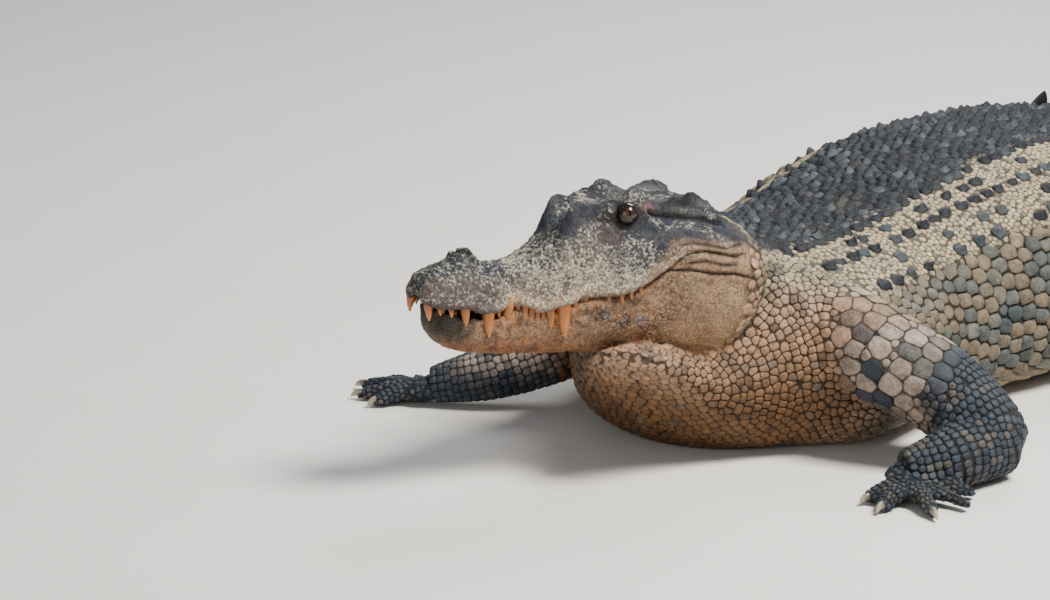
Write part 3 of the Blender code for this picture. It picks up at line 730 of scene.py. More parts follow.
class Coat:
    """Scales sown over the skin, each keeping its room, then grown until they meet."""

    def __init__(self, ground):
        self.ground, self.scales, self.taken, self.groups = ground, [], {}, []

    def room(self, p, radius, share):
        """Whether a scale of this size has its share of room; if so, its place is taken."""
        key = tuple(math.floor(c / ROOM) for c in p)
        for x, y, z in BOXES_ROUND:
            for other, size in self.taken.get((key[0] + x, key[1] + y, key[2] + z), ()):
                if math.dist(p, other) < share * (radius + size):
                    return False
        self.taken.setdefault(key, []).append((p, radius))
        return True

    def sow(self, piece, seeds, radius, reach=0.014, share=0.78, keep=None, kind=None, **look):
        """Add scales of one kind where the skin is free; a look is passed on to their shapes.

        The radius is one number, or a list at least as long as the seeds.
        """
        places, along, roots = seeds
        place, normal, away = self.ground.snap(places)
        radius = np.broadcast_to(radius, len(place)) if np.ndim(radius) == 0 else radius[:len(place)]
        good = (away < reach) & (place[:, 2] > 0.005) & (radius > 0)
        if keep is not None:
            good &= keep(place)
        first = len(self.scales)
        for i in np.flatnonzero(good):
            if self.room(tuple(place[i]), radius[i], share):
                self.scales.append((place[i], normal[i], along[i], roots[i], radius[i]))
        self.groups.append((piece, kind, slice(first, len(self.scales)), look))

    def grow(self):
        """The scales of every group: their outlines stop where they meet their neighbours."""
        place, normal, along, root, radius = (np.array(column) for column in zip(*self.scales))
        near = nearest(place)
        normal = unit(normal + 0.5 * normal[near].mean(1))
        wide = unit(np.cross(along, normal))
        long = np.cross(normal, wide)
        away = place[near] - place[:, None]
        x, y, z = (np.einsum("nkd,nd->nk", away, axis) for axis in (wide, long, normal))
        border = np.linalg.norm(away, axis=2) * radius[:, None] / (radius[:, None] + radius[near])
        toward, bend = np.arctan2(y, x), curvature(x, y, z)
        for piece, kind, part, look in self.groups:
            if part.stop > part.start:
                yield piece, kind, place[part], scale_shapes(
                    place[part], (wide[part], long[part], normal[part]), radius[part], root[part],
                    (border[part], toward[part]), bend[part], **look)


def nearest(place):
    """The numbers of the scales that lie nearest to each scale."""
    tree = KDTree(len(place))
    for i, p in enumerate(place.tolist()):
        tree.insert(p, i)
    tree.balance()
    return np.array([[i for _, i, _ in tree.find_n(p, NEIGHBOURS + 1)][1:] for p in place.tolist()])


def curvature(x, y, z):
    """How the ground bends under each scale, from where its neighbours lie, within limits."""
    terms = np.stack([x * x, x * y, y * y], -1)
    square = np.einsum("nki,nkj->nij", terms, terms) + 1e-9 * np.eye(3)
    bend = np.linalg.solve(square, np.einsum("nki,nk->ni", terms, z)[..., None])[..., 0]
    return np.clip(bend, -12, 6)


def outlines(radius, border, toward, sides, crisp, oval, rough, spread):
    """Directions of the corners of scales, and how far each scale reaches towards them."""
    angle = 2 * np.pi * (np.arange(sides) + 0.5) / sides
    c, s = np.cos(angle), np.sin(angle)
    facing = np.maximum(np.cos(angle[None, None] - toward[..., None]), 0) / border[..., None]
    widest = np.hypot(c * oval, s / oval)[None] / (radius[:, None] * spread)
    reach = ((facing**crisp).sum(1) + widest**crisp)**(-1 / crisp)
    return c, s, reach * (1.03 + rough * rng.uniform(-1, 1, (len(radius), sides))) - GROOVE


def scale_shapes(place, axes, radius, root, bounds, bend, sides, rings=RING_ROUND, height=0.2, keel=0.0,
                 crisp=8.0, oval=1.0, lean=0.3, rough=0.05, spread=1.32):
    """Vertices, heights and flat places of scales; heights are parts of each scale's own width."""
    wide, long, normal = axes
    size = radius[:, None]
    c, s, outline = outlines(radius, *bounds, sides, crisp, oval, rough, spread)
    tall = 2 * size * rng.uniform(0.8, 1.15, (len(place), 1))
    ridge_height = keel * 2 * size * rng.uniform(0.5, 1.4, (len(place), 1))
    places, levels, offsets = [], [], []
    for reach, rise in (*rings, (0.0, 1.0)):
        x, y = (outline * reach * c, outline * reach * s) if reach else (np.zeros_like(size),) * 2
        p, q = x / size, y / size
        base = bend[:, :1] * x * x + bend[:, 1:2] * x * y + bend[:, 2:] * y * y
        ridge = hug(p, 0.22) * (0.35 + 0.65 * np.clip((q + 1) / 2, 0, 1)) * (1 - np.clip(abs(q), 0, 1)**5)
        z = base - SINK
        if rise is not None:
            z = base + height * tall * rise * (1 + lean * q) + ridge_height * ridge
        # Levels become painted light and shade in the scale materials: 0 at the sunk root, rising to the
        # crown, and higher along keels, as painted highlights.
        levels.append(np.broadcast_to(0.0 if rise is None else rise + 0.6 * ridge * (keel > 0), x.shape))
        places.append(place[:, None] + wide[:, None] * x[..., None] + long[:, None] * y[..., None]
                      + normal[:, None] * z[..., None])
        offsets.append(np.stack([p, q], -1))
    verts = np.concatenate(places, 1)
    verts[..., 2] = np.maximum(verts[..., 2], 0.0)
    spots = root[:, None] + np.concatenate(offsets, 1) * SPOT_SIZE
    return verts, np.concatenate(levels, 1), spots, scale_loops(sides, len(rings))


def scale_loops(sides, rings):
    """Corner numbers and face sizes of one scale: a closed root, rings of quads and a top."""
    loops, sizes = list(range(sides))[::-1], [sides]
    for r in range(rings - 1):
        for i in range(sides):
            j = (i + 1) % sides
            loops += [r * sides + i, r * sides + j, (r + 1) * sides + j, (r + 1) * sides + i]
            sizes.append(4)
    top, last = rings * sides, (rings - 1) * sides
    for i in range(sides):
        loops += [last + i, last + (i + 1) % sides, top]
        sizes.append(3)
    return np.array(loops), np.array(sizes)


def mesh_from_arrays(name, verts, loops, sizes, spots, colour, level):
    """A mesh from its corner numbers and face sizes, with its flat places, colours and heights."""
    mesh = bpy.data.meshes.new(name)
    mesh.vertices.add(len(verts))
    mesh.vertices.foreach_set("co", np.asarray(verts + ORIGIN, np.float32).ravel())
    mesh.loops.add(len(loops))
    mesh.loops.foreach_set("vertex_index", loops.astype(np.int32))
    mesh.polygons.add(len(sizes))
    starts = np.concatenate([[0], np.cumsum(sizes)[:-1]])
    mesh.polygons.foreach_set("loop_start", starts.astype(np.int32))
    mesh.update(calc_edges=True)
    lay_flat(mesh, spots, loops)
    paint(mesh, colour, level)
    return mesh


def lay_flat(mesh, spots, loops):
    """Store where every corner lies on the flat picture of the hide."""
    layer = mesh.uv_layers.new(name="OFBake")
    layer.uv.foreach_set("vector", np.asarray(spots[loops], np.float32).ravel())


def store(mesh, name, values):
    """Keep one number for each vertex under a name."""
    layer = mesh.attributes.new(name, "FLOAT", "POINT")
    layer.data.foreach_set("value", np.asarray(values, np.float32).ravel())


def paint(mesh, colour, level):
    """Store the base colour and how high on its scale, or how flecked, each vertex is."""
    tint = mesh.attributes.new("tint", "FLOAT_COLOR", "POINT")
    rgba = np.column_stack([colour, np.ones(len(colour))])
    tint.data.foreach_set("color", rgba.astype(np.float32).ravel())
    store(mesh, "rise", level)


def joined(parts):
    return tuple(np.concatenate(lists) for lists in zip(*parts))


def spine_way(s):
    """Direction along the body, towards the tail, at stations of the spine."""
    turn = spine_at(s)[2]
    return np.stack([-np.sin(turn), np.cos(turn), np.zeros(len(s))], -1)


def flat_along(s):
    """How far along the flat picture of the hide a station of the spine lies."""
    return 0.02 + 0.96 * (s - THROAT_START) / (TAIL_TIP - THROAT_START)


def girth_angles(s, f):
    """Angles on the body's rings at parts of the way from the spine to the belly's middle, and its length."""
    a = np.linspace(math.pi / 2, -math.pi / 2, 241)
    rings = body_surface(s[:, None], a[None, :], COAT_DEPTH(s)[:, None])
    length = np.cumsum(np.linalg.norm(np.diff(rings, axis=1), axis=2), 1)
    length = np.concatenate([np.zeros((len(s), 1)), length], 1)
    return np.array([np.interp(f * row[-1], row, a) for row in length]), length[:, -1]


def body_rows(stations, begin, end, width, jitter=0.12, stagger=0.5, sides=(1, -1)):
    """Places in rows across the body, between two parts of the way round, on both sides."""
    stations = np.asarray(stations, float)
    pitch, width = np.gradient(stations), np.broadcast_to(width, len(stations))
    parts = np.linspace(0, 1, 61)
    angles, girth = girth_angles(stations, parts)
    rows = []
    for k, station in enumerate(stations):
        count = max(1, round((end - begin) * girth[k] / width[k]))
        even = begin + (end - begin) * (np.arange(count) + 0.5 - stagger / 2 + stagger * (k % 2)) / count
        for side in sides:
            f = even + jitter * rng.uniform(-1, 1, count) * width[k] / girth[k]
            s = station + jitter * rng.uniform(-1, 1, count) * pitch[k]
            a = np.interp(f, parts, angles[k])
            place = body_surface(s, a if side == 1 else math.pi - a, COAT_DEPTH(s))
            rows.append((place, spine_way(s), np.stack([flat_along(s), 0.02 + 0.30 * (1 + side * f)], -1)))
    return joined(rows)


def single_row(stations, part):
    """One place on each side of the body at every station."""
    return body_rows(stations, part, part + 1e-6, 1.0, 0.0, 0.0)


def tube_rows(line, width, arc, jitter, first, span, band):
    """Places in rings round a tapering line, over an arc, and their own strip of the flat picture."""
    along = unit(np.gradient(line[:, :3], axis=0))
    across = unit(np.cross(along, (0, 0, 1.0)))
    up = np.cross(across, along)
    pitch = np.linalg.norm(line[1, :3] - line[0, :3])
    rows = []
    for k, (centre, radius) in enumerate(zip(line[:, :3], line[:, 3])):
        count = max(3, round(radius * (arc[1] - arc[0]) / width))
        part = (np.arange(count) + 0.25 + 0.5 * (k % 2)) / count
        part = part + jitter * rng.uniform(-1, 1, count) / count
        a = (arc[0] + (arc[1] - arc[0]) * part)[:, None]
        place = centre + radius * (across[k] * np.cos(a) + up[k] * np.sin(a))
        place = place + along[k] * (jitter * pitch * rng.uniform(-1, 1, (count, 1)))
        spots = np.column_stack([np.full(count, first + span * k / len(line)),
                                 0.66 + 0.08 * band + 0.07 * (part % 1)])
        rows.append((place, np.tile(along[k], (count, 1)), spots))
    return joined(rows)


def limb_rows(name, side, start, end, pitch, width, band, jitter=0.14):
    """Places in rings along a leg, from one part of its length to another."""
    path = smooth_path(leg_points(name, side), 200)
    steps = np.linalg.norm(np.diff(path[:, :3], axis=0), axis=1)
    length = np.concatenate([[0], np.cumsum(steps)])
    place = np.arange(start * length[-1], end * length[-1], pitch)
    line = np.column_stack([np.interp(place, length, path[:, k]) for k in range(4)])
    line[:, 3] -= LIMB_COAT
    first, span = 0.02 + 0.45 * start, 0.45 * (end - start)
    return tube_rows(line, width, (0, 2 * math.pi), jitter, first, span, band)


def digit_rows(name, side, number, band):
    """Places in rings along a digit, over its top and sides only."""
    places, radii, _ = digit_line(name, side, number)
    line = smooth_path(np.column_stack([places, radii]), 60)
    pitch = 0.0105 if name == "hand" else 0.013
    count = int(np.linalg.norm(line[-1, :3] - line[0, :3]) * 0.80 / pitch)
    line = line[np.linspace(10, 58, count).astype(int)]
    line[:, 3] -= 0.003
    arc = (math.radians(-30), math.radians(210))
    return tube_rows(line, 0.011, arc, 0.05, 0.52 + 0.08 * number, 0.07, band)


AXIS_HEIGHT = 0.18               # of the line that the flat picture is wound round


def scattered(ground, tries):
    """Random places over the whole skin."""
    tri = np.array([f for f in ground.faces if len(f) == 3])
    corner = ground.co[tri]
    cross = np.cross(corner[:, 1] - corner[:, 0], corner[:, 2] - corner[:, 0])
    area = np.linalg.norm(cross, axis=1) / 2
    which = rng.choice(len(tri), tries, p=area / area.sum())
    one, two = rng.random((2, tries, 1))
    one, two = np.where(one + two > 1, 1 - one, one), np.where(one + two > 1, 1 - two, two)
    corner = corner[which]
    place = corner[:, 0] + one * (corner[:, 1] - corner[:, 0]) + two * (corner[:, 2] - corner[:, 0])
    s, across = to_spine(place)
    angle = np.arctan2(place[:, 2] - AXIS_HEIGHT, across)
    root = np.stack([flat_along(s), 0.02 + 0.60 * ((0.25 - angle / (2 * np.pi)) % 1)], -1)
    return place, spine_way(s), np.clip(root, 0.01, 0.99)


CREST_START, CREST_STEP, SINGLE_FROM = 1.50, 0.080, 2.62
BLADE_LENGTH, BLADE_THICK, BLADE_SIDES = 0.072, 0.0105, 14
BLADE_LEVELS = (-0.35, 0.0, 0.25, 0.5, 0.72, 0.88, 0.97, 1.0)


def crest_blades():
    """The upright scutes over the hips and tail: two rows that draw together, then a single one."""
    s = CREST_START
    while s < TAIL_TIP - 0.06:
        grown = np.clip((s - 1.35) / 0.7, 0, 1)
        paired = s < SINGLE_FROM
        height = 0.075 * np.clip((TAIL_TIP + 0.25 - s) / 0.9, 0.2, 1)
        if paired:
            height = 0.018 + 0.050 * grown
        offset = 0.085 - 0.060 * np.clip((s - 1.5) / 1.12, 0, 1)
        for side in ((1, -1) if paired else (0,)):
            yield s, side * offset, float(height)
        s += CREST_STEP


def blade_rings(s, across, height):
    """Rings of one crest scute: long and thin at the foot, swept back to a blunt tip."""
    top = float(BODY_TOP(s))
    angle = 2 * np.pi * np.arange(BLADE_SIDES) / BLADE_SIDES
    rings = []
    for k in BLADE_LEVELS:
        t = max(k, 0)
        half_length = BLADE_LENGTH * 0.54 * (1 - t**1.5)**0.8 + 0.0012
        half_thick = BLADE_THICK * (0.62 - 0.45 * t) * (1 - t**6) + 0.0006
        station = s + BLADE_LENGTH * 0.34 * t**1.4 + half_length * np.cos(angle)
        x, y, turn = spine_at(station)
        q = across + half_thick * np.sin(angle)
        z = np.full(BLADE_SIDES, top - 0.006 + height * k)
        rings.append(np.stack([x + q * np.cos(turn), y + q * np.sin(turn), z], -1))
    return np.array(rings)


# ---------------------------------------------------------------- colours
def tone(r, g, b):
    """A colour as light, from screen values out of 255."""
    c = np.array((r, g, b)) / 255
    return np.where(c <= 0.04045, c / 12.92, ((c + 0.055) / 1.055)**2.4)


BACK, BACK_GREY = tone(22, 27, 34), tone(62, 70, 76)
SAND, TAN, OLIVE = tone(148, 136, 112), tone(97, 86, 70), tone(44, 53, 55)
# SHADED_THROAT is the throat's ochre darkened as painted shade.
PINK_TAN, SHADED_THROAT, BELLY = tone(150, 121, 97), tone(86, 60, 35), tone(178, 160, 126)
GREEN_GREY, SHOULDER, PEBBLE = tone(84, 90, 86), tone(132, 118, 107), tone(84, 76, 68)
BRUISE, ORANGE = tone(132, 130, 126), tone(166, 112, 70)
NAPE, FOREHEAD = tone(56, 54, 52), tone(80, 82, 84)
LEG, LEG_PALE = tone(38, 46, 56), tone(116, 104, 84)
CROWN, CREAM, SNOUT = tone(36, 43, 56), tone(198, 191, 170), tone(108, 92, 86)
LIP, JAW, JAW_EDGE, CHEEK = tone(162, 134, 106), tone(158, 124, 94), tone(142, 94, 56), tone(164, 134, 104)
RUST, CHIN_SHADE, CREASE_SHADE = tone(98, 60, 42), tone(50, 47, 40), tone(32, 26, 23)
MOUTH_SHADE, LID, PATCH = tone(44, 32, 27), tone(24, 25, 28), tone(140, 98, 90)


def mottling(co):
    """How thickly the cream flecks lie on the dark skin of the upper head."""
    u, q, r = to_head(co)
    above_lip = ramp(0.0, 0.02, r - LIP_HEIGHT(u) + 0.9 * snout_droop(u))
    patchy = lumps(co, 0.045, 8)
    thick = 0.10 + 0.52 * (1 - ramp(0.065, 0.140, r + 0.03 * patchy)) + 0.50 * patchy
    thick = np.clip(thick, 0, 1) * (0.25 + 0.75 * ramp(0.14, 0.24, u))
    eye = 0.6 * np.exp(-(from_eye(u, r) / 0.030)**4)
    knob = bump(u, abs(q), (0.552, 0.086), (0.044, 0.028), 1.2) * ramp(0.19, 0.21, r)
    share = thick * above_lip * (1 - eye) * (1 - np.clip(knob, 0, 1))
    return share * (1 - ramp(0.62, 0.70, u)) * (r > -0.04)


def blend(base, other, share):
    """A colour drawn towards another one, by a share for each place."""
    return base + (other - base) * np.clip(share, 0, 1)[:, None]


def layered(colour, *layers):
    """A colour, alike everywhere or one for each place, with others laid over it by their shares."""
    for other, share in layers:
        colour = blend(colour, other, share)
    return colour


def trunk_colour(s, f, start, broad, patchy, fine):
    """Dark back, sandy band, grey-green flank, pale belly and the bars of the tail."""
    on_flank = ramp(0.30, 0.37, f) * (1 - ramp(0.66, 0.74, f)) * ramp(0.05, 0.25, s)
    bars = ramp(0.15, 0.45, np.sin(s * 2 * np.pi / 0.34) + 0.6 * patchy)
    return layered(
        BACK,
        (BACK_GREY, ramp(0.1, 0.7, patchy + 0.5 * fine) * 0.5),
        (SAND, ramp(-0.01, 0.015, f - start)),
        (TAN, ramp(0.27, 0.33, f)),
        (GREEN_GREY, ramp(-0.10, 0.25, patchy + 0.4 * fine) * on_flank * 0.7),
        (OLIVE, ramp(0.16, 0.40, patchy + 0.3 * broad) * on_flank * 0.65),
        (BELLY, ramp(0.66, 0.76, f)),
        (OLIVE, ramp(1.5, 2.0, s) * bars * (1 - ramp(0.70, 0.85, f)) * 0.8))


def neck_colour(s, z, f, broad, patchy):
    nape = (1 - ramp(0.20, 0.34, f + 0.05 * patchy)) * ramp(-0.16, -0.04, s)
    blotches = ramp(0.22, 0.42, patchy + 0.25 * broad) * (1 - ramp(0.50, 0.66, f)) * 0.7
    # Painted shade: the throat's ochre, darkened, is laid over the lowest part of neck and throat under the
    # head.
    low_throat_shade = 1 - ramp(0.10, 0.34, z + 0.03 * broad)
    return layered(
        PINK_TAN,
        (SAND * 0.75, nape),
        (NAPE, np.maximum(nape * ramp(-0.15, 0.10, patchy) * 0.85, blotches)),
        (SHADED_THROAT, low_throat_shade * (1 - ramp(0.0, 0.30, s))))


def leg_colour(s, z, across, broad, patchy, fine):
    inner = 1 - ramp(0.51, 0.57, abs(across) + 0.03 * broad)
    shoulder = inner * (1 - ramp(0.45, 0.60, s)) * ramp(0.06, 0.12, z)
    return layered(
        LEG,
        (LEG_PALE, ramp(0.15, 0.6, fine + 0.7 * patchy) * 0.25),
        (OLIVE, ramp(0.1, 0.4, broad) * 0.35),
        (SHOULDER, shoulder * (1 - ramp(-0.02, 0.18, patchy)) * 0.92))


def jaw_colour(co, u, r, patchy, fine):
    """Tan with rust and orange stains, a grey bruise, and painted shade on the front of the chin under the
    upper lip.
    """
    stains = ramp(0.0, 0.35, lumps(co, 0.030, 11)) * (1 - ramp(0.44, 0.50, u))
    bruise = bump(u, r, (0.425, -0.022), (0.050, 0.020), 1.3) * ramp(-0.3, 0.3, fine)
    # Painted shade: the upper front of the lower jaw, under the overhanging snout, is darkened.
    chin = (1 - ramp(0.085, 0.15, u + 0.015 * patchy)) * ramp(-0.112, -0.075, r + 0.012 * fine)
    return layered(
        JAW,
        (JAW_EDGE, 1 - ramp(-0.106, -0.080, r + 0.008 * patchy)),
        (RUST, ramp(0.05, 0.35, fine + 0.6 * patchy) * 0.70),
        (ORANGE, stains * 0.6),
        (CHEEK, ramp(0.47, 0.53, u + 0.3 * r) * 0.95),
        (BRUISE, bruise * 0.8),
        (CHIN_SHADE, chin * 0.92))


def in_mouth(u, side, r, lip, lip_half):
    """Whether places lie on the gums and the floor of the open mouth."""
    lower = LOWER_LIP_HEIGHT(u)
    inner = (u < MOUTH_OPEN_TO + 0.01) & (u > 0.004) & (side < lip_half - 0.012) & (r < lip + 0.014)
    deep = (u > 0.050) & (r > lower - 0.022) & (side < lip_half - 0.018)
    return inner & ((r > lower + 0.001) | deep)


def head_colour(co, u, q, r, patchy, fine):
    """Dark crown, paler lips and cheek, the jaw below them and the dark spots over both, with painted light
    on the lower jaw and painted shade in the mouth.
    """
    side = abs(q)
    lip, lip_half = LIP_HEIGHT(u) - 0.9 * snout_droop(u), LIP_HALF_WIDTH(u)
    lip_band = 1 - ramp(0.016, 0.050, r - lip + 0.010 * patchy)
    below = 1 - ramp(-0.004, 0.004, r - lip)
    cheek = ramp(0.49, 0.53, u) * (1 - ramp(0.128, 0.152, r + 0.014 * patchy + 0.012 * fine))
    colour = layered(
        CROWN,
        (SNOUT, ramp(0.55, 0.95, side / lip_half) * (1 - ramp(0.36, 0.46, u)) * 0.8),
        (FOREHEAD, ramp(0.0, 0.4, patchy) * 0.5),
        (LIP, lip_band * ramp(0.14, 0.20, u) * 0.9),
        (jaw_colour(co, u, r, patchy, fine), below * ramp(0.02, 0.04, u)),
        (blend(CHEEK, JAW, ramp(0.0, 0.5, patchy) * 0.6), cheek),
        (ORANGE, bump(u, r, (0.60, -0.08), (0.10, 0.035), 0.5) * ramp(-0.3, 0.3, fine)))
    # Painted light: the lower jaw behind the mouth corner, which faces down, is made up to 42% brighter.
    painted_light = 0.42 * below * (1 - ramp(-0.06, 0.03, r)) * ramp(0.42, 0.52, u)
    # Painted shade: the gums and floor of the open mouth are painted a near-black brown.
    colour = np.where(in_mouth(u, side, r, lip, lip_half)[:, None], MOUTH_SHADE, colour * (1 + painted_light)[:, None])
    beside = side > 0.05
    flap = np.exp(-(((u - 0.563) / 0.044)**6 + ((r - 0.203) / 0.018)**6))
    lids = np.exp(-(np.hypot(u - EYE_AT[0], (r - EYE_AT[2]) * 1.2) / 0.038)**4)
    patch = hug(np.hypot((u - 0.478) / 0.016, (r - 0.200) / 0.011), 1)
    return layered(
        colour,
        (LID, bump(u, q, (0.106, 0.0), (0.026, 0.030), 1.0) * ramp(0.066, 0.078, r)),
        (GREEN_GREY * 1.25, flap * beside * 0.65),
        (LID, lids * beside * 0.9),
        (LID, bump(u, q, (0.552, 0.086), (0.034, 0.022), 1.2) * ramp(0.19, 0.21, r)),
        (LID, bump(u, r, (0.392, 0.181), (0.019, 0.016), 1.2) * beside),
        (PATCH, patch * beside * 0.7))


def markings(co):
    """The animal's colours at any places on skin or scales."""
    u, q, r = to_head(co)
    s, across = to_spine(co)
    z = co[:, 2]
    top, low, half = BODY_TOP(s), BODY_FLOOR(s), BODY_HALF_WIDTH(s)
    waist = low + (top - low) * 0.40
    rise = np.degrees(np.arctan2((z - waist) / (top - waist), abs(across) / half))
    broad, patchy, fine = lumps(co, 0.16, 4), lumps(co, 0.050, 5), lumps(co, 0.016, 6)
    f = 0.52 * (1 - rise / 90) + 0.025 * broad
    start = np.where(across > 0, BAND_START, BAND_START_RIGHT)
    on_leg = ramp(1.02, 1.16, abs(across) / half) * (1 - ramp(2.0, 2.1, s))
    head = head_share(co, *COLOUR_EDGE)
    colour = layered(
        trunk_colour(s, f, start, broad, patchy, fine),
        (neck_colour(s, z, f, broad, patchy), 1 - ramp(0.02, 0.24, s)),
        (leg_colour(s, z, across, broad, patchy, fine), on_leg),
        (head_colour(co, u, q, r, patchy, fine), head))
    # Painted shade: the skin along the mouth crease, ear slits and corner folds is darkened.
    creases = np.min([line_distance(u, r, line) for line in (MOUTH_CREASE, EAR_SLIT, *CORNER_FOLDS)], axis=0)
    crease_shade = hug(creases, 0.0034) * head * (abs(q) > 0.05) * ramp(0.19, 0.21, u)
    return blend(colour, CREASE_SHADE, crease_shade * 0.88) * (1 + 0.10 * broad)[:, None]


# ---------------------------------------------------------------- materials
def sign(kind, reflected=False):
    """The method of the Shade class for one sign of arithmetic, or for its reflected form."""
    if reflected:
        return lambda self, other: self.math(kind, other, self)
    return lambda self, other: self.math(kind, self, other)


def opaque(colour):
    """A colour as a socket takes it; a Shade stays as it is."""
    return colour if isinstance(colour, Shade) else (*colour, 1)


class Shade:
    """A shader value, so that sums between sockets can be written as sums."""

    def __init__(self, tree, socket):
        self.tree, self.socket = tree, socket

    def node(self, kind, settings=None, inputs=None, output=0):
        made = self.tree.nodes.new(kind)
        for name, value in (settings or {}).items():
            setattr(made, name, value)
        for name, value in (inputs or {}).items():
            if isinstance(value, Shade):
                self.tree.links.new(value.socket, made.inputs[name])
            else:
                made.inputs[name].default_value = value
        return Shade(self.tree, made.outputs[output])

    def math(self, kind, *values):
        return self.node("ShaderNodeMath", {"operation": kind}, dict(enumerate(values)))

    __add__, __radd__ = sign("ADD"), sign("ADD", reflected=True)
    __sub__, __rsub__ = sign("SUBTRACT"), sign("SUBTRACT", reflected=True)
    __mul__, __rmul__ = sign("MULTIPLY"), sign("MULTIPLY", reflected=True)
    __truediv__, __rtruediv__ = sign("DIVIDE"), sign("DIVIDE", reflected=True)
    __pow__ = sign("POWER")

    def between(self, low, high):
        """0 below low, 1 above high, smooth between."""
        return self.node("ShaderNodeMapRange", {"interpolation_type": "SMOOTHSTEP"},
                         {"Value": self, "From Min": low, "From Max": high})

    def mix(self, one, other, share):
        return self.node("ShaderNodeMix", {"data_type": "RGBA"},
                         {0: share, 6: opaque(one), 7: opaque(other)}, 2)

    def mixed(self, other, share):
        """This colour drawn towards another one."""
        return self.mix(self, other, share)

    def shaded(self, amount):
        """This colour made darker or lighter by a value."""
        grey = self.node("ShaderNodeCombineXYZ", {}, {0: amount, 1: amount, 2: amount})
        return self.node("ShaderNodeVectorMath", {"operation": "MULTIPLY"}, {0: self, 1: grey})


class Material:
    """A new material with its places, attributes and textures to hand."""

    def __init__(self, name, roughness, coat=0.0):
        self.made = bpy.data.materials.new(name)
        self.made.use_nodes = True
        self.tree = self.made.node_tree
        self.principled = self.tree.nodes["Principled BSDF"]
        self.principled.inputs["Roughness"].default_value = roughness
        self.principled.inputs["Coat Weight"].default_value = coat
        self.start = Shade(self.tree, None)
        self.place = self.start.node("ShaderNodeTexCoord", output="Object")

    def attribute(self, name, output):
        return self.start.node("ShaderNodeAttribute", {"attribute_name": name}, output=output)

    def noise(self, scale, detail=3.0, rough=0.55):
        return self.start.node("ShaderNodeTexNoise", {}, {
            "Vector": self.place, "Scale": scale, "Detail": detail, "Roughness": rough}, "Fac")

    def bent(self, scale, bend):
        """The place, pushed about by a noise of nearly the same scale."""
        wander = self.start.node("ShaderNodeTexNoise", {}, {
            "Vector": self.place, "Scale": scale * 1.3, "Detail": 2.0}, "Color")
        return self.start.node("ShaderNodeMix", {"data_type": "VECTOR"},
                               {0: bend, 4: self.place, 5: wander}, 1)

    def cracks(self, scale, bend=0.0):
        """Distance from the nearest crack of an irregular network."""
        where = self.bent(scale, bend) if bend else self.place
        return self.start.node("ShaderNodeTexVoronoi", {"feature": "DISTANCE_TO_EDGE"}, {
            "Vector": where, "Scale": scale}, "Distance")

    def cells(self, scale, bend):
        """A value between 0 and 1 for each cell between the cracks of the same scale and bend."""
        colour = self.start.node("ShaderNodeTexVoronoi", {}, {
            "Vector": self.bent(scale, bend), "Scale": scale}, "Color")
        return self.start.node("ShaderNodeSeparateColor", {}, {"Color": colour}, "Red")

    def put(self, socket, value):
        if isinstance(value, Shade):
            self.tree.links.new(value.socket, self.principled.inputs[socket])
        else:
            self.principled.inputs[socket].default_value = value

    def bumps(self, height, distance, strength=1.0):
        self.put("Normal", self.start.node("ShaderNodeBump", {}, {
            "Height": height, "Distance": distance, "Strength": strength}, "Normal"))
        return self.made


def skin_material():
    """Bare skin: fine scales, each dark or cream, above the mouth and cracked, stained skin below."""
    m = Material("skin", 0.62)
    tint = m.attribute("tint", "Color")
    coarse, fine, dust = m.noise(34.0), m.noise(190.0, 4.0), m.noise(9.0, 5.0, 0.65)
    plates, grains = m.cracks(85.0, 0.014), m.cracks(210.0, 0.006)
    cracked, thick = m.attribute("cracked", "Fac"), m.attribute("rise", "Fac")
    crack = (1.0 - plates.between(0.0, 0.11)) * cracked
    seam = (1.0 - grains.between(0.0, 0.11)) * (0.35 + thick.between(0.0, 0.3) * 0.65)
    flecks = m.noise(120.0, 5.0, 0.70)
    share = (flecks * 0.55 + m.cells(210.0, 0.006) * 0.34 + thick * 0.34).between(0.47, 0.76) * 0.80
    colour = tint.mixed(CREAM, share * thick.between(0.02, 0.12))
    colour = colour.shaded(0.52 + 0.42 * coarse.between(0.3, 0.7) + 0.62 * fine.between(0.3, 0.7))
    colour = colour.mixed(tone(168, 150, 122), dust.between(0.60, 0.84) * 0.14)
    colour = colour.shaded(1.0 - 0.75 * crack)
    m.put("Base Color", colour.shaded(1.0 - 0.50 * seam))
    m.put("Roughness", 0.40 + 0.40 * fine)
    m.put("Specular IOR Level", 0.4)
    relief = plates.between(0.0, 0.14) * cracked + grains.between(0.0, 0.16) * 0.9
    return m.bumps(relief + flecks + fine * 0.5 + coarse, 0.0028)


def scale_material(name, dark, light, roughness):
    """Scales take the skin's markings, with painted shade in their grooves and painted light on their crowns.
    """
    m = Material(name, roughness)
    tint, rise = m.attribute("tint", "Color"), m.attribute("rise", "Fac")
    fine, coarse, dust = m.noise(230.0, 4.0), m.noise(48.0), m.noise(11.0, 5.0, 0.65)
    # Painted light and shade: the tint is multiplied by the dark factor at each scale's root, rising to the
    # light factor on its crown.
    crown = rise.between(0.05, 0.80)
    colour = tint.shaded(dark + (light - dark) * crown)
    colour = colour.shaded(0.40 + 0.58 * fine.between(0.3, 0.7) + 0.58 * coarse.between(0.3, 0.7))
    colour = colour.mixed(tone(180, 162, 132), dust.between(0.58, 0.82) * 0.14)
    m.put("Base Color", colour)
    m.put("Roughness", roughness - 0.10 + 0.28 * fine)
    m.put("Specular IOR Level", 0.28)
    return m.bumps(fine * 0.8 + coarse * 0.5 + m.cracks(300.0) * 0.5, 0.0016)


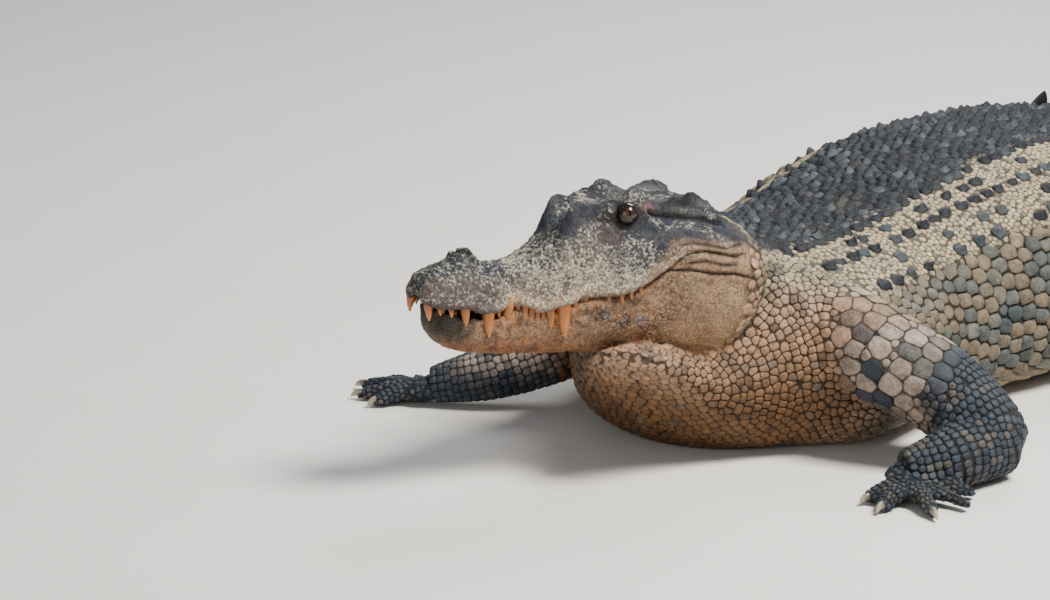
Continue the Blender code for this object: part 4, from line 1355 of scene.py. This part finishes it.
def tooth_material():
    m = Material("tooth", 0.34, 0.25)
    rise = m.attribute("rise", "Fac")
    grain, stain = m.noise(160.0), m.noise(40.0, 4.0)
    gum = (1.0 - rise.between(0.20, 0.95)) * 0.75
    colour = m.attribute("tint", "Color").mixed(tone(118, 54, 16), gum)
    colour = colour.mixed(tone(72, 40, 20), stain.between(0.50, 0.70) * 0.40)
    m.put("Base Color", colour.shaded(0.82 + 0.30 * grain))
    m.put("Roughness", 0.25 + 0.25 * grain)
    return m.bumps(grain, 0.0004)


def claw_material():
    m = Material("claw", 0.42, 0.1)
    rise = m.attribute("rise", "Fac")
    grain = m.noise(120.0, 4.0)
    colour = m.attribute("tint", "Color").mixed(tone(190, 176, 150), rise.between(0.25, 0.95) * 0.7)
    m.put("Base Color", colour.shaded(0.70 + 0.50 * grain))
    m.put("Roughness", 0.32 + 0.25 * grain)
    return m.bumps(grain, 0.0006)


def eye_material():
    """A brown iris with darker threads and a narrow upright pupil under a wet surface."""
    m = Material("eye_glass", 0.14, 0.35)
    across, upright = m.attribute("look_x", "Fac"), m.attribute("look_y", "Fac")
    reach = (across * across + upright * upright)**0.5
    threads = m.noise(420.0, 3.0)
    colour = m.start.mix(tone(62, 42, 24), tone(16, 12, 10), reach.between(0.15, 0.62) * 0.75)
    colour = colour.shaded(0.45 + 0.95 * threads)
    slit = (across * across / 0.011 + upright * upright / 0.26)**0.5
    colour = colour.mixed((0.002, 0.002, 0.002), 1.0 - slit.between(0.80, 1.0))
    colour = colour.mixed(tone(16, 12, 10), reach.between(0.60, 0.68))
    m.put("Base Color", colour)
    m.put("Specular IOR Level", 0.35)
    return m.bumps(threads, 0.0001, 0.3)


# ---------------------------------------------------------------- teeth, claws and eyes
def parts_mesh(name, made, colours):
    """Closed shapes joined into one mesh, each with its own colour and its height along its length."""
    verts, faces = gather([loft(rings) for rings in made])
    colour = np.concatenate([np.tile(c, (r.shape[0] * r.shape[1], 1)) for c, r in zip(colours, made)])
    level = np.concatenate([np.repeat(np.linspace(0, 1, r.shape[0]), r.shape[1]) for r in made])
    mesh = mesh_of(name, verts + ORIGIN, faces)
    paint(mesh, colour, level)
    return mesh


def tooth(u, length, side, way, half_width, lip_height):
    """Rings of one tooth from its root in the gum to its tip; way is -1 in the upper jaw."""
    radius = 0.0022 + 0.255 * length
    t = 1.0 - 1.35 * np.linspace(1, 0, 14)**1.6
    k = np.clip(t, 0, 1)
    base_q = float(half_width(u)) - 0.0085
    base_r = float(lip_height(np.array(u))) - (0.85 * snout_droop(u) if way < 0 else 0)
    line = from_head(u + 0.10 * length * k**2, side * (base_q + length * 0.17 * np.sin(k * 1.9)),
                     base_r + way * length * t)
    size = radius * (0.58 * (1 - k) + 0.42 * np.sqrt(np.clip(1 - k**2, 0.0004, 1)))
    return tube_rings(line, size, 12)


def all_teeth():
    rows = ((UPPER_TEETH, -1, LIP_HALF_WIDTH, LIP_HEIGHT), (LOWER_TEETH, 1, JAW_HALF_WIDTH, mouth_height))
    return [tooth(u, length, side, *jaw) for teeth, *jaw in rows for u, length in teeth for side in (1, -1)]


CLAWED_DIGITS = 3


def claw(name, side, number):
    """Rings of one claw, from inside its digit to the blunt tip near the ground."""
    places, radii, out = digit_line(name, side, number)
    length = leg_fan(name, side)[number][1]
    thick = radii[0] * 0.42
    t = np.linspace(0, 1, 10)
    reach = length * (0.20 if name == "hand" else 0.17)
    start = places[-1] - out * reach * 0.55
    line = start + out * (reach * 1.05 * t)[:, None]
    line[:, 2] = 0.0135 + 0.006 * np.sin(np.pi * t * 0.8) - 0.011 * t**2
    size = thick * (1 - 0.35 * t) * np.sqrt(np.clip(1 - t**3, 0.01, 1))
    return np.maximum(tube_rings(line, size, 12, flat=1.15), (-9, -9, 0.0005))


def eye_mesh(name, way):
    """An eyeball with a slightly proud cornea; each vertex knows its direction from the pupil."""
    centre, out, back, up = eye_frame(way)
    polar = np.linspace(0.02, math.pi - 0.02, 40)[:, None]
    turn = 2 * np.pi * np.arange(48)[None, :] / 48
    ways = (np.cos(polar)[..., None] * out + (np.sin(polar) * np.cos(turn))[..., None] * back
            + (np.sin(polar) * np.sin(turn))[..., None] * up)
    size = EYE_BALL - 0.0004 + 0.0008 * hug(polar, 0.55)
    verts, faces = loft(centre + ways * size[..., None])
    mesh = mesh_of(name, verts + ORIGIN, faces)
    store(mesh, "look_x", ways @ back)
    store(mesh, "look_y", ways @ up)
    return mesh


# ---------------------------------------------------------------- the animal
# The solids' nodes that the skin and its coat take the place of.
FLESH = ["head", "jaw", "neck", "chest", "belly", "hips", "tail_1", "tail_2", "tail_3", "tail_4"]
FLESH += [f"{part}_{word}" for word in ("left", "right")
          for part in ("upper_arm", "forearm", "hand", "thigh", "shank", "foot")]

# How the scales of some kinds look: see scale_shapes.
BACK_LOOK = dict(rings=RING_FINE, sides=12, height=0.12, keel=0.40, crisp=7, lean=0.6, rough=0.10,
                 kind="back")
NECK_LOOK = dict(reach=0.02, sides=12, spread=1.75)
SMOOTH_LOOK = dict(sides=12, rings=RING_SMALL, height=0.07, crisp=20)
# Rows of large scutes along the back: part of the way round, first station, step, and how many are there.
SCUTE_ROWS = ((0.132, 0.17, 0.036, 0.95), (0.172, 0.30, 0.044, 0.55), (0.214, 0.20, 0.044, 0.85),
              (0.263, 0.42, 0.056, 0.50), (0.310, 0.28, 0.060, 0.75))
# The knot of scutes on the neck: station, and parts of the way round.
NECK_SCUTES = ((0.035, (0.028, 0.078)), (0.085, (0.026, 0.082)), (0.060, (0.128,)))
BANDS = ((1, BAND_START), (-1, BAND_START_RIGHT))
RADII_DRAWN = 5000              # more than the dark back has seeds on either side
SMALL_TRIES = 90000             # places tried for the small scales that fill the gaps


def off_head(centre):
    """Whether places lie behind the ragged edge where the bare skin of the head ends."""
    share = head_share(centre, 1.07, 1.14)
    ragged = share < np.clip(0.45 + 0.9 * lumps(centre, 0.02, 12), 0.1, 0.85)
    return ragged & ((to_head(centre)[0] > 0.52) | (share < 0.01))


def sow_back(coat):
    """Keeled scutes: the knot on the neck, the long rows and the dark back between them."""
    for station, parts in NECK_SCUTES:
        for part in parts:
            row = single_row((station, station + 0.01), part)
            coat.sow("scales_back", row, 0.023, **BACK_LOOK, oval=1.1)
    for part, start, step, share in SCUTE_ROWS:
        stations = np.arange(start, 1.64, step)
        stations = stations + rng.uniform(-0.14, 0.14, len(stations)) * step
        stations = stations[rng.random(len(stations)) < share]
        row = single_row(stations, part)
        coat.sow("scales_back", row, rng.uniform(0.0135, 0.0185, 2 * len(stations)), oval=1.30, **BACK_LOOK)
    for side, end in BANDS:
        rows = body_rows(np.arange(0.150, 1.67, 0.0290), 0.0, end + 0.012, 0.026, 0.20, 0.5, (side,))
        coat.sow("scales_back", rows, rng.uniform(0.011, 0.016, RADII_DRAWN), **BACK_LOOK)


def sow_body(coat):
    """Round scales of the neck, plates of the flanks, grains of the sandy band and belly plates."""
    coat.sow("scales_neck", body_rows(np.arange(-0.345, 0.165, 0.0165), 0.0, 0.62, 0.0155, 0.20), 0.0080,
             keep=off_head, height=0.24, crisp=16, lean=0.1, rough=0.03, **NECK_LOOK)
    coat.sow("scales_neck", body_rows(np.arange(-0.345, 0.165, 0.0150), 0.62, 1.0, 0.0210, 0.10), 0.0085,
             keep=off_head, rings=RING_SMALL, height=0.15, crisp=14, **NECK_LOOK)
    armpit = 0.165 + np.cumsum(np.concatenate([[0.0], np.linspace(0.018, 0.032, 12)]))
    behind = np.arange(armpit[-1] + 0.034, 1.67, 0.0355)
    rows = body_rows(armpit, 0.335, 0.745, np.linspace(0.019, 0.032, 13), 0.16)
    coat.sow("scales_flank", rows, 0.0115, sides=12, height=0.26, crisp=11, lean=0.4, spread=1.5)
    coat.sow("scales_flank", body_rows(behind, 0.335, 0.745, 0.0350, 0.14), 0.0172,
             sides=14, rings=RING_FINE, height=0.28, crisp=11, lean=0.45, rough=0.07, spread=1.45)
    for side, begin in BANDS:
        rows = body_rows(np.arange(0.165, 1.67, 0.0125), begin, 0.335, 0.0125, 0.25, 0.5, (side,))
        coat.sow("scales_band", rows, 0.0062,
                 sides=8, rings=RING_SMALL, height=0.10, crisp=9, rough=0.10, spread=1.5)
    rows = body_rows(np.arange(0.165, 1.67, 0.0350), 0.745, 1.0, 0.036, 0.04, 0.0)
    coat.sow("scales_belly", rows, 0.0170, **SMOOTH_LOOK)


def sow_tail(coat):
    """Whorls of plates round the tail, smooth ones below."""
    whorls = np.arange(1.67, 3.86, 0.0400)
    width = np.interp(whorls, (1.67, 3.86), (0.036, 0.016))
    coat.sow("scales_tail", body_rows(whorls, 0.0, 0.70, width, 0.05, 0.0), 0.0170,
             sides=14, rings=RING_FINE, height=0.13, keel=0.10, crisp=14, lean=0.4, share=0.5)
    coat.sow("scales_tail", body_rows(whorls, 0.70, 1.0, width, 0.03, 0.0), 0.0170, share=0.5, **SMOOTH_LOOK)


def sow_legs(coat):
    """Smooth plates on the upper limbs, then smaller scales down to the tips of the digits."""
    for band, (name, side) in enumerate(LIMBS):
        piece = "scales_forelegs" if name == "hand" else "scales_hindlegs"
        coat.sow("scales_shoulders", limb_rows(name, side, 0.08, 0.47, 0.037, 0.041, band, 0.16), 0.0190,
                 sides=16, rings=RING_FINE, height=0.075, crisp=22, rough=0.03, spread=1.7)
        coat.sow(piece, limb_rows(name, side, 0.44, 1.0, 0.0160, 0.0175, band, 0.10), 0.0080, reach=0.010,
                 sides=12, rings=RING_SMALL, height=0.17, crisp=13)
        for i in range(len(leg_fan(name, side))):
            coat.sow(piece, digit_rows(name, side, i, band), 0.0052, reach=0.006,
                     sides=8, rings=RING_SMALL, height=0.22, crisp=9)


def sow_small(coat, ground):
    """Small scales wherever the larger ones left the skin bare."""
    places, along, roots = scattered(ground, SMALL_TRIES)
    s, across = to_spine(places)
    beyond = abs(across) / BODY_HALF_WIDTH(s)
    size = np.where(s < 0.15, 0.0072, 0.0105)
    size = np.where(beyond > 1.03, 0.0082, size)
    on_foot = (beyond > 1.2) & (places[:, 2] < 0.06)
    size = np.where(on_foot, 0.0052, size) * rng.uniform(0.75, 1.15, len(places))
    coat.sow("scales_small", (places, along, roots), size, keep=off_head, share=1.04,
             sides=8, rings=RING_SMALL, height=0.20, crisp=9, spread=1.6)


def grow_scales(ground):
    """Scales of every part of the body, the largest and most regular first."""
    coat = Coat(ground)
    sow_back(coat)
    sow_body(coat)
    sow_tail(coat)
    sow_legs(coat)
    sow_small(coat, ground)
    return coat.grow()


def scale_colours(centres, kind):
    """One colour for each scale, most of them the skin's own, with a few odd ones among them."""
    n = len(centres)
    colour = markings(centres)
    own = rng.uniform(0.84, 1.14, (n, 1))
    if kind == "back":
        dark = BACK + (BACK_GREY - BACK) * rng.random((n, 1))**5
        return dark * own
    s, across = to_spine(centres)
    odd = rng.random(n)
    beyond = abs(across) / BODY_HALF_WIDTH(s)
    flank = (s > 0.20) & (s < 1.7) & (beyond < 1.02)
    return layered(colour, (OLIVE, (flank & (odd < 0.09)) * 0.75),
                   (PEBBLE, ((s < 0.20) & (odd < 0.06)) * 0.6)) * own


def dress_skin():
    """The skin with its colours and cracks; returned as the ground that scales stand on."""
    skin = build_skin()
    co = read_verts(skin.data)
    scaly = 1 - head_share(co, *COLOUR_EDGE)
    # Painted shade: where scales cover it, the skin is painted 70% darker, so the gaps between scales look
    # shaded.
    paint(skin.data, markings(co) * (1 - 0.70 * scaly)[:, None], mottling(co))
    u, _, r = to_head(co)
    below_lip = ramp(0.0, 0.02, LIP_HEIGHT(u) - r) * ramp(0.28, 0.40, u)
    fading = 0.35 + 0.65 * (1 - ramp(0.50, 0.56, u))
    cracked = 0.15 + 0.85 * below_lip * fading * ramp(-0.35, 0.1, lumps(co, 0.05, 9))
    store(skin.data, "cracked", cracked * (1 - scaly))
    ground = Ground(skin.data)
    write_verts(skin.data, co + ORIGIN)
    hand_over(skin, skin_material(), "skin_dark", *FLESH)
    return ground


def coat_mesh(piece, groups):
    """All scales of one piece as one mesh."""
    columns, start = [], 0
    for own, verts, levels, spots, (loop, size) in groups:
        n, count = verts.shape[:2]
        loops = loop[None] + (start + np.arange(n) * count)[:, None]
        columns.append((verts.reshape(-1, 3), loops.ravel(), np.tile(size, n), spots.reshape(-1, 2),
                        np.repeat(own, count, 0), levels.ravel()))
        start += n * count
    return mesh_from_arrays(piece, *joined(columns))


def build_coat(ground, dark):
    pale = scale_material("scale_pale", 0.06, 1.12, 0.60)
    sandy = scale_material("scale_sandy", 0.62, 1.10, 0.66)
    looks = {"scales_back": (dark, "skin_back"), "scales_forelegs": (dark, "skin_dark"),
             "scales_hindlegs": (dark, "skin_dark"), "scales_band": (sandy, "skin_pale")}
    grown = {}
    for piece, kind, centres, shapes in grow_scales(ground):
        grown.setdefault(piece, []).append((scale_colours(centres, kind), *shapes))
    for piece, groups in grown.items():
        o = placed(piece, coat_mesh(piece, groups))
        hand_over(o, *looks.get(piece, (pale, "skin_pale")), *FLESH)


def build_crest(dark):
    """The upright scutes as one mesh, each with its own spot on the flat picture."""
    blades = [(blade, blade_rings(*blade)) for blade in crest_blades()]
    crest = parts_mesh("crest", [rings for _, rings in blades], [BACK * 1.1] * len(blades))
    rows, sides = blades[0][1].shape[:2]
    places = read_verts(crest) - ORIGIN
    middles = places.reshape(-1, rows * sides, 3).mean(1)
    roots = np.array([(flat_along(blade[0]), 0.32 + 0.2 * blade[1]) for blade, _ in blades])
    within = (places - np.repeat(middles, rows * sides, 0)) / 0.05 * 0.0015
    spots = np.repeat(roots, rows * sides, 0) + within[:, 1:]
    lay_flat(crest, spots, read(crest.loops, "vertex_index", 1, np.int32)[:, 0])
    hand_over(placed("scales_crest", crest), dark, "skin_back", *FLESH)


def build_hard_parts():
    """Teeth, claws and eyeballs."""
    teeth = all_teeth()
    ivory = [tone(204, 136, 62) * rng.uniform(0.80, 1.1) for _ in teeth]
    hand_over(placed("teeth", parts_mesh("teeth", teeth, ivory)), tooth_material(), "teeth", "head", "jaw")
    claws = [claw(name, side, i) for name, side in LIMBS for i in range(CLAWED_DIGITS)]
    horn = parts_mesh("claws", claws, [tone(96, 90, 80)] * len(claws))
    ends = [part for part in FLESH if part.startswith(("hand", "foot"))]
    hand_over(placed("claws", horn), claw_material(), "claws", *ends)
    glass = eye_material()
    for word, way in (("left", 1), ("right", -1)):
        name = f"eyeball_{word}"
        hand_over(placed(name, eye_mesh(name, way)), glass, "eye", f"eye_{word}")


def build_animal():
    ground = dress_skin()
    dark = scale_material("scale_dark", 0.18, 1.05, 0.58)
    build_coat(ground, dark)
    build_crest(dark)
    build_hard_parts()


# ---------------------------------------------------------------- stage, light and camera
CAMERA_AROUND, CAMERA_ABOVE, CAMERA_DISTANCE, SEEN_WIDTH = 40.0, 16.0, 7.0, 2.096
CAMERA_TARGET = Vector((-0.046, -2.075, 0.40))
LIGHTS_TARGET = Vector((0, -1.0, 0.2))
# Name, degrees round and above, distance, size, power and colour of each light.
LIGHTS = (("key", 95, 60, 6.0, 2.0, 860, (1.0, 0.96, 0.90)),
          ("fill", 10, 14, 7.0, 4.0, 120, (1.0, 0.94, 0.87)),
          ("rim", 200, 45, 7.0, 3.0, 280, (1.0, 0.98, 0.95)))
FLOOR_REACH, FLOOR_DROP = 40, 0.0008
FLOOR_PALE, FLOOR_PALER = (0.70, 0.68, 0.65), (0.74, 0.72, 0.69)


def aim(o, target, around, above, distance):
    """Stand an object at a distance from its target and turn it to face it."""
    a, e = math.radians(around), math.radians(above)
    back = Vector((math.sin(a) * math.cos(e), -math.cos(a) * math.cos(e), math.sin(e)))
    o.location = target + back * distance
    o.rotation_mode = "QUATERNION"
    o.rotation_quaternion = (-back).to_track_quat("-Z", "Y")


def build_floor():
    corners = [(x * FLOOR_REACH, y * FLOOR_REACH, -FLOOR_DROP)
               for x, y in ((-1, -1), (1, -1), (1, 1), (-1, 1))]
    floor = placed("floor", mesh_of("floor", corners, [(0, 1, 2, 3)]))
    m = Material("floor_pale", 0.9)
    m.put("Base Color", m.start.mix(FLOOR_PALE, FLOOR_PALER, m.noise(3.0)))
    floor.data.materials.append(m.made)


def build_light():
    for name, around, above, distance, size, power, colour in LIGHTS:
        light = bpy.data.lights.new(name, "AREA")
        light.energy, light.size, light.color = power, size, colour
        aim(placed(name, light), LIGHTS_TARGET, around, above, distance)
    world = bpy.data.worlds.new("studio")
    bpy.context.scene.world = world
    world.use_nodes = True
    air = world.node_tree.nodes["Background"]
    air.inputs["Color"].default_value = (0.80, 0.86, 0.95, 1)
    air.inputs["Strength"].default_value = 0.30


def build_camera():
    data = bpy.data.cameras.new("camera")
    data.angle = 2 * math.atan(SEEN_WIDTH / 2 / CAMERA_DISTANCE)
    camera = placed("camera", data)
    aim(camera, CAMERA_TARGET, CAMERA_AROUND, CAMERA_ABOVE, CAMERA_DISTANCE)
    bpy.context.scene.camera = camera


build_animal()
build_floor()
build_light()
build_camera()
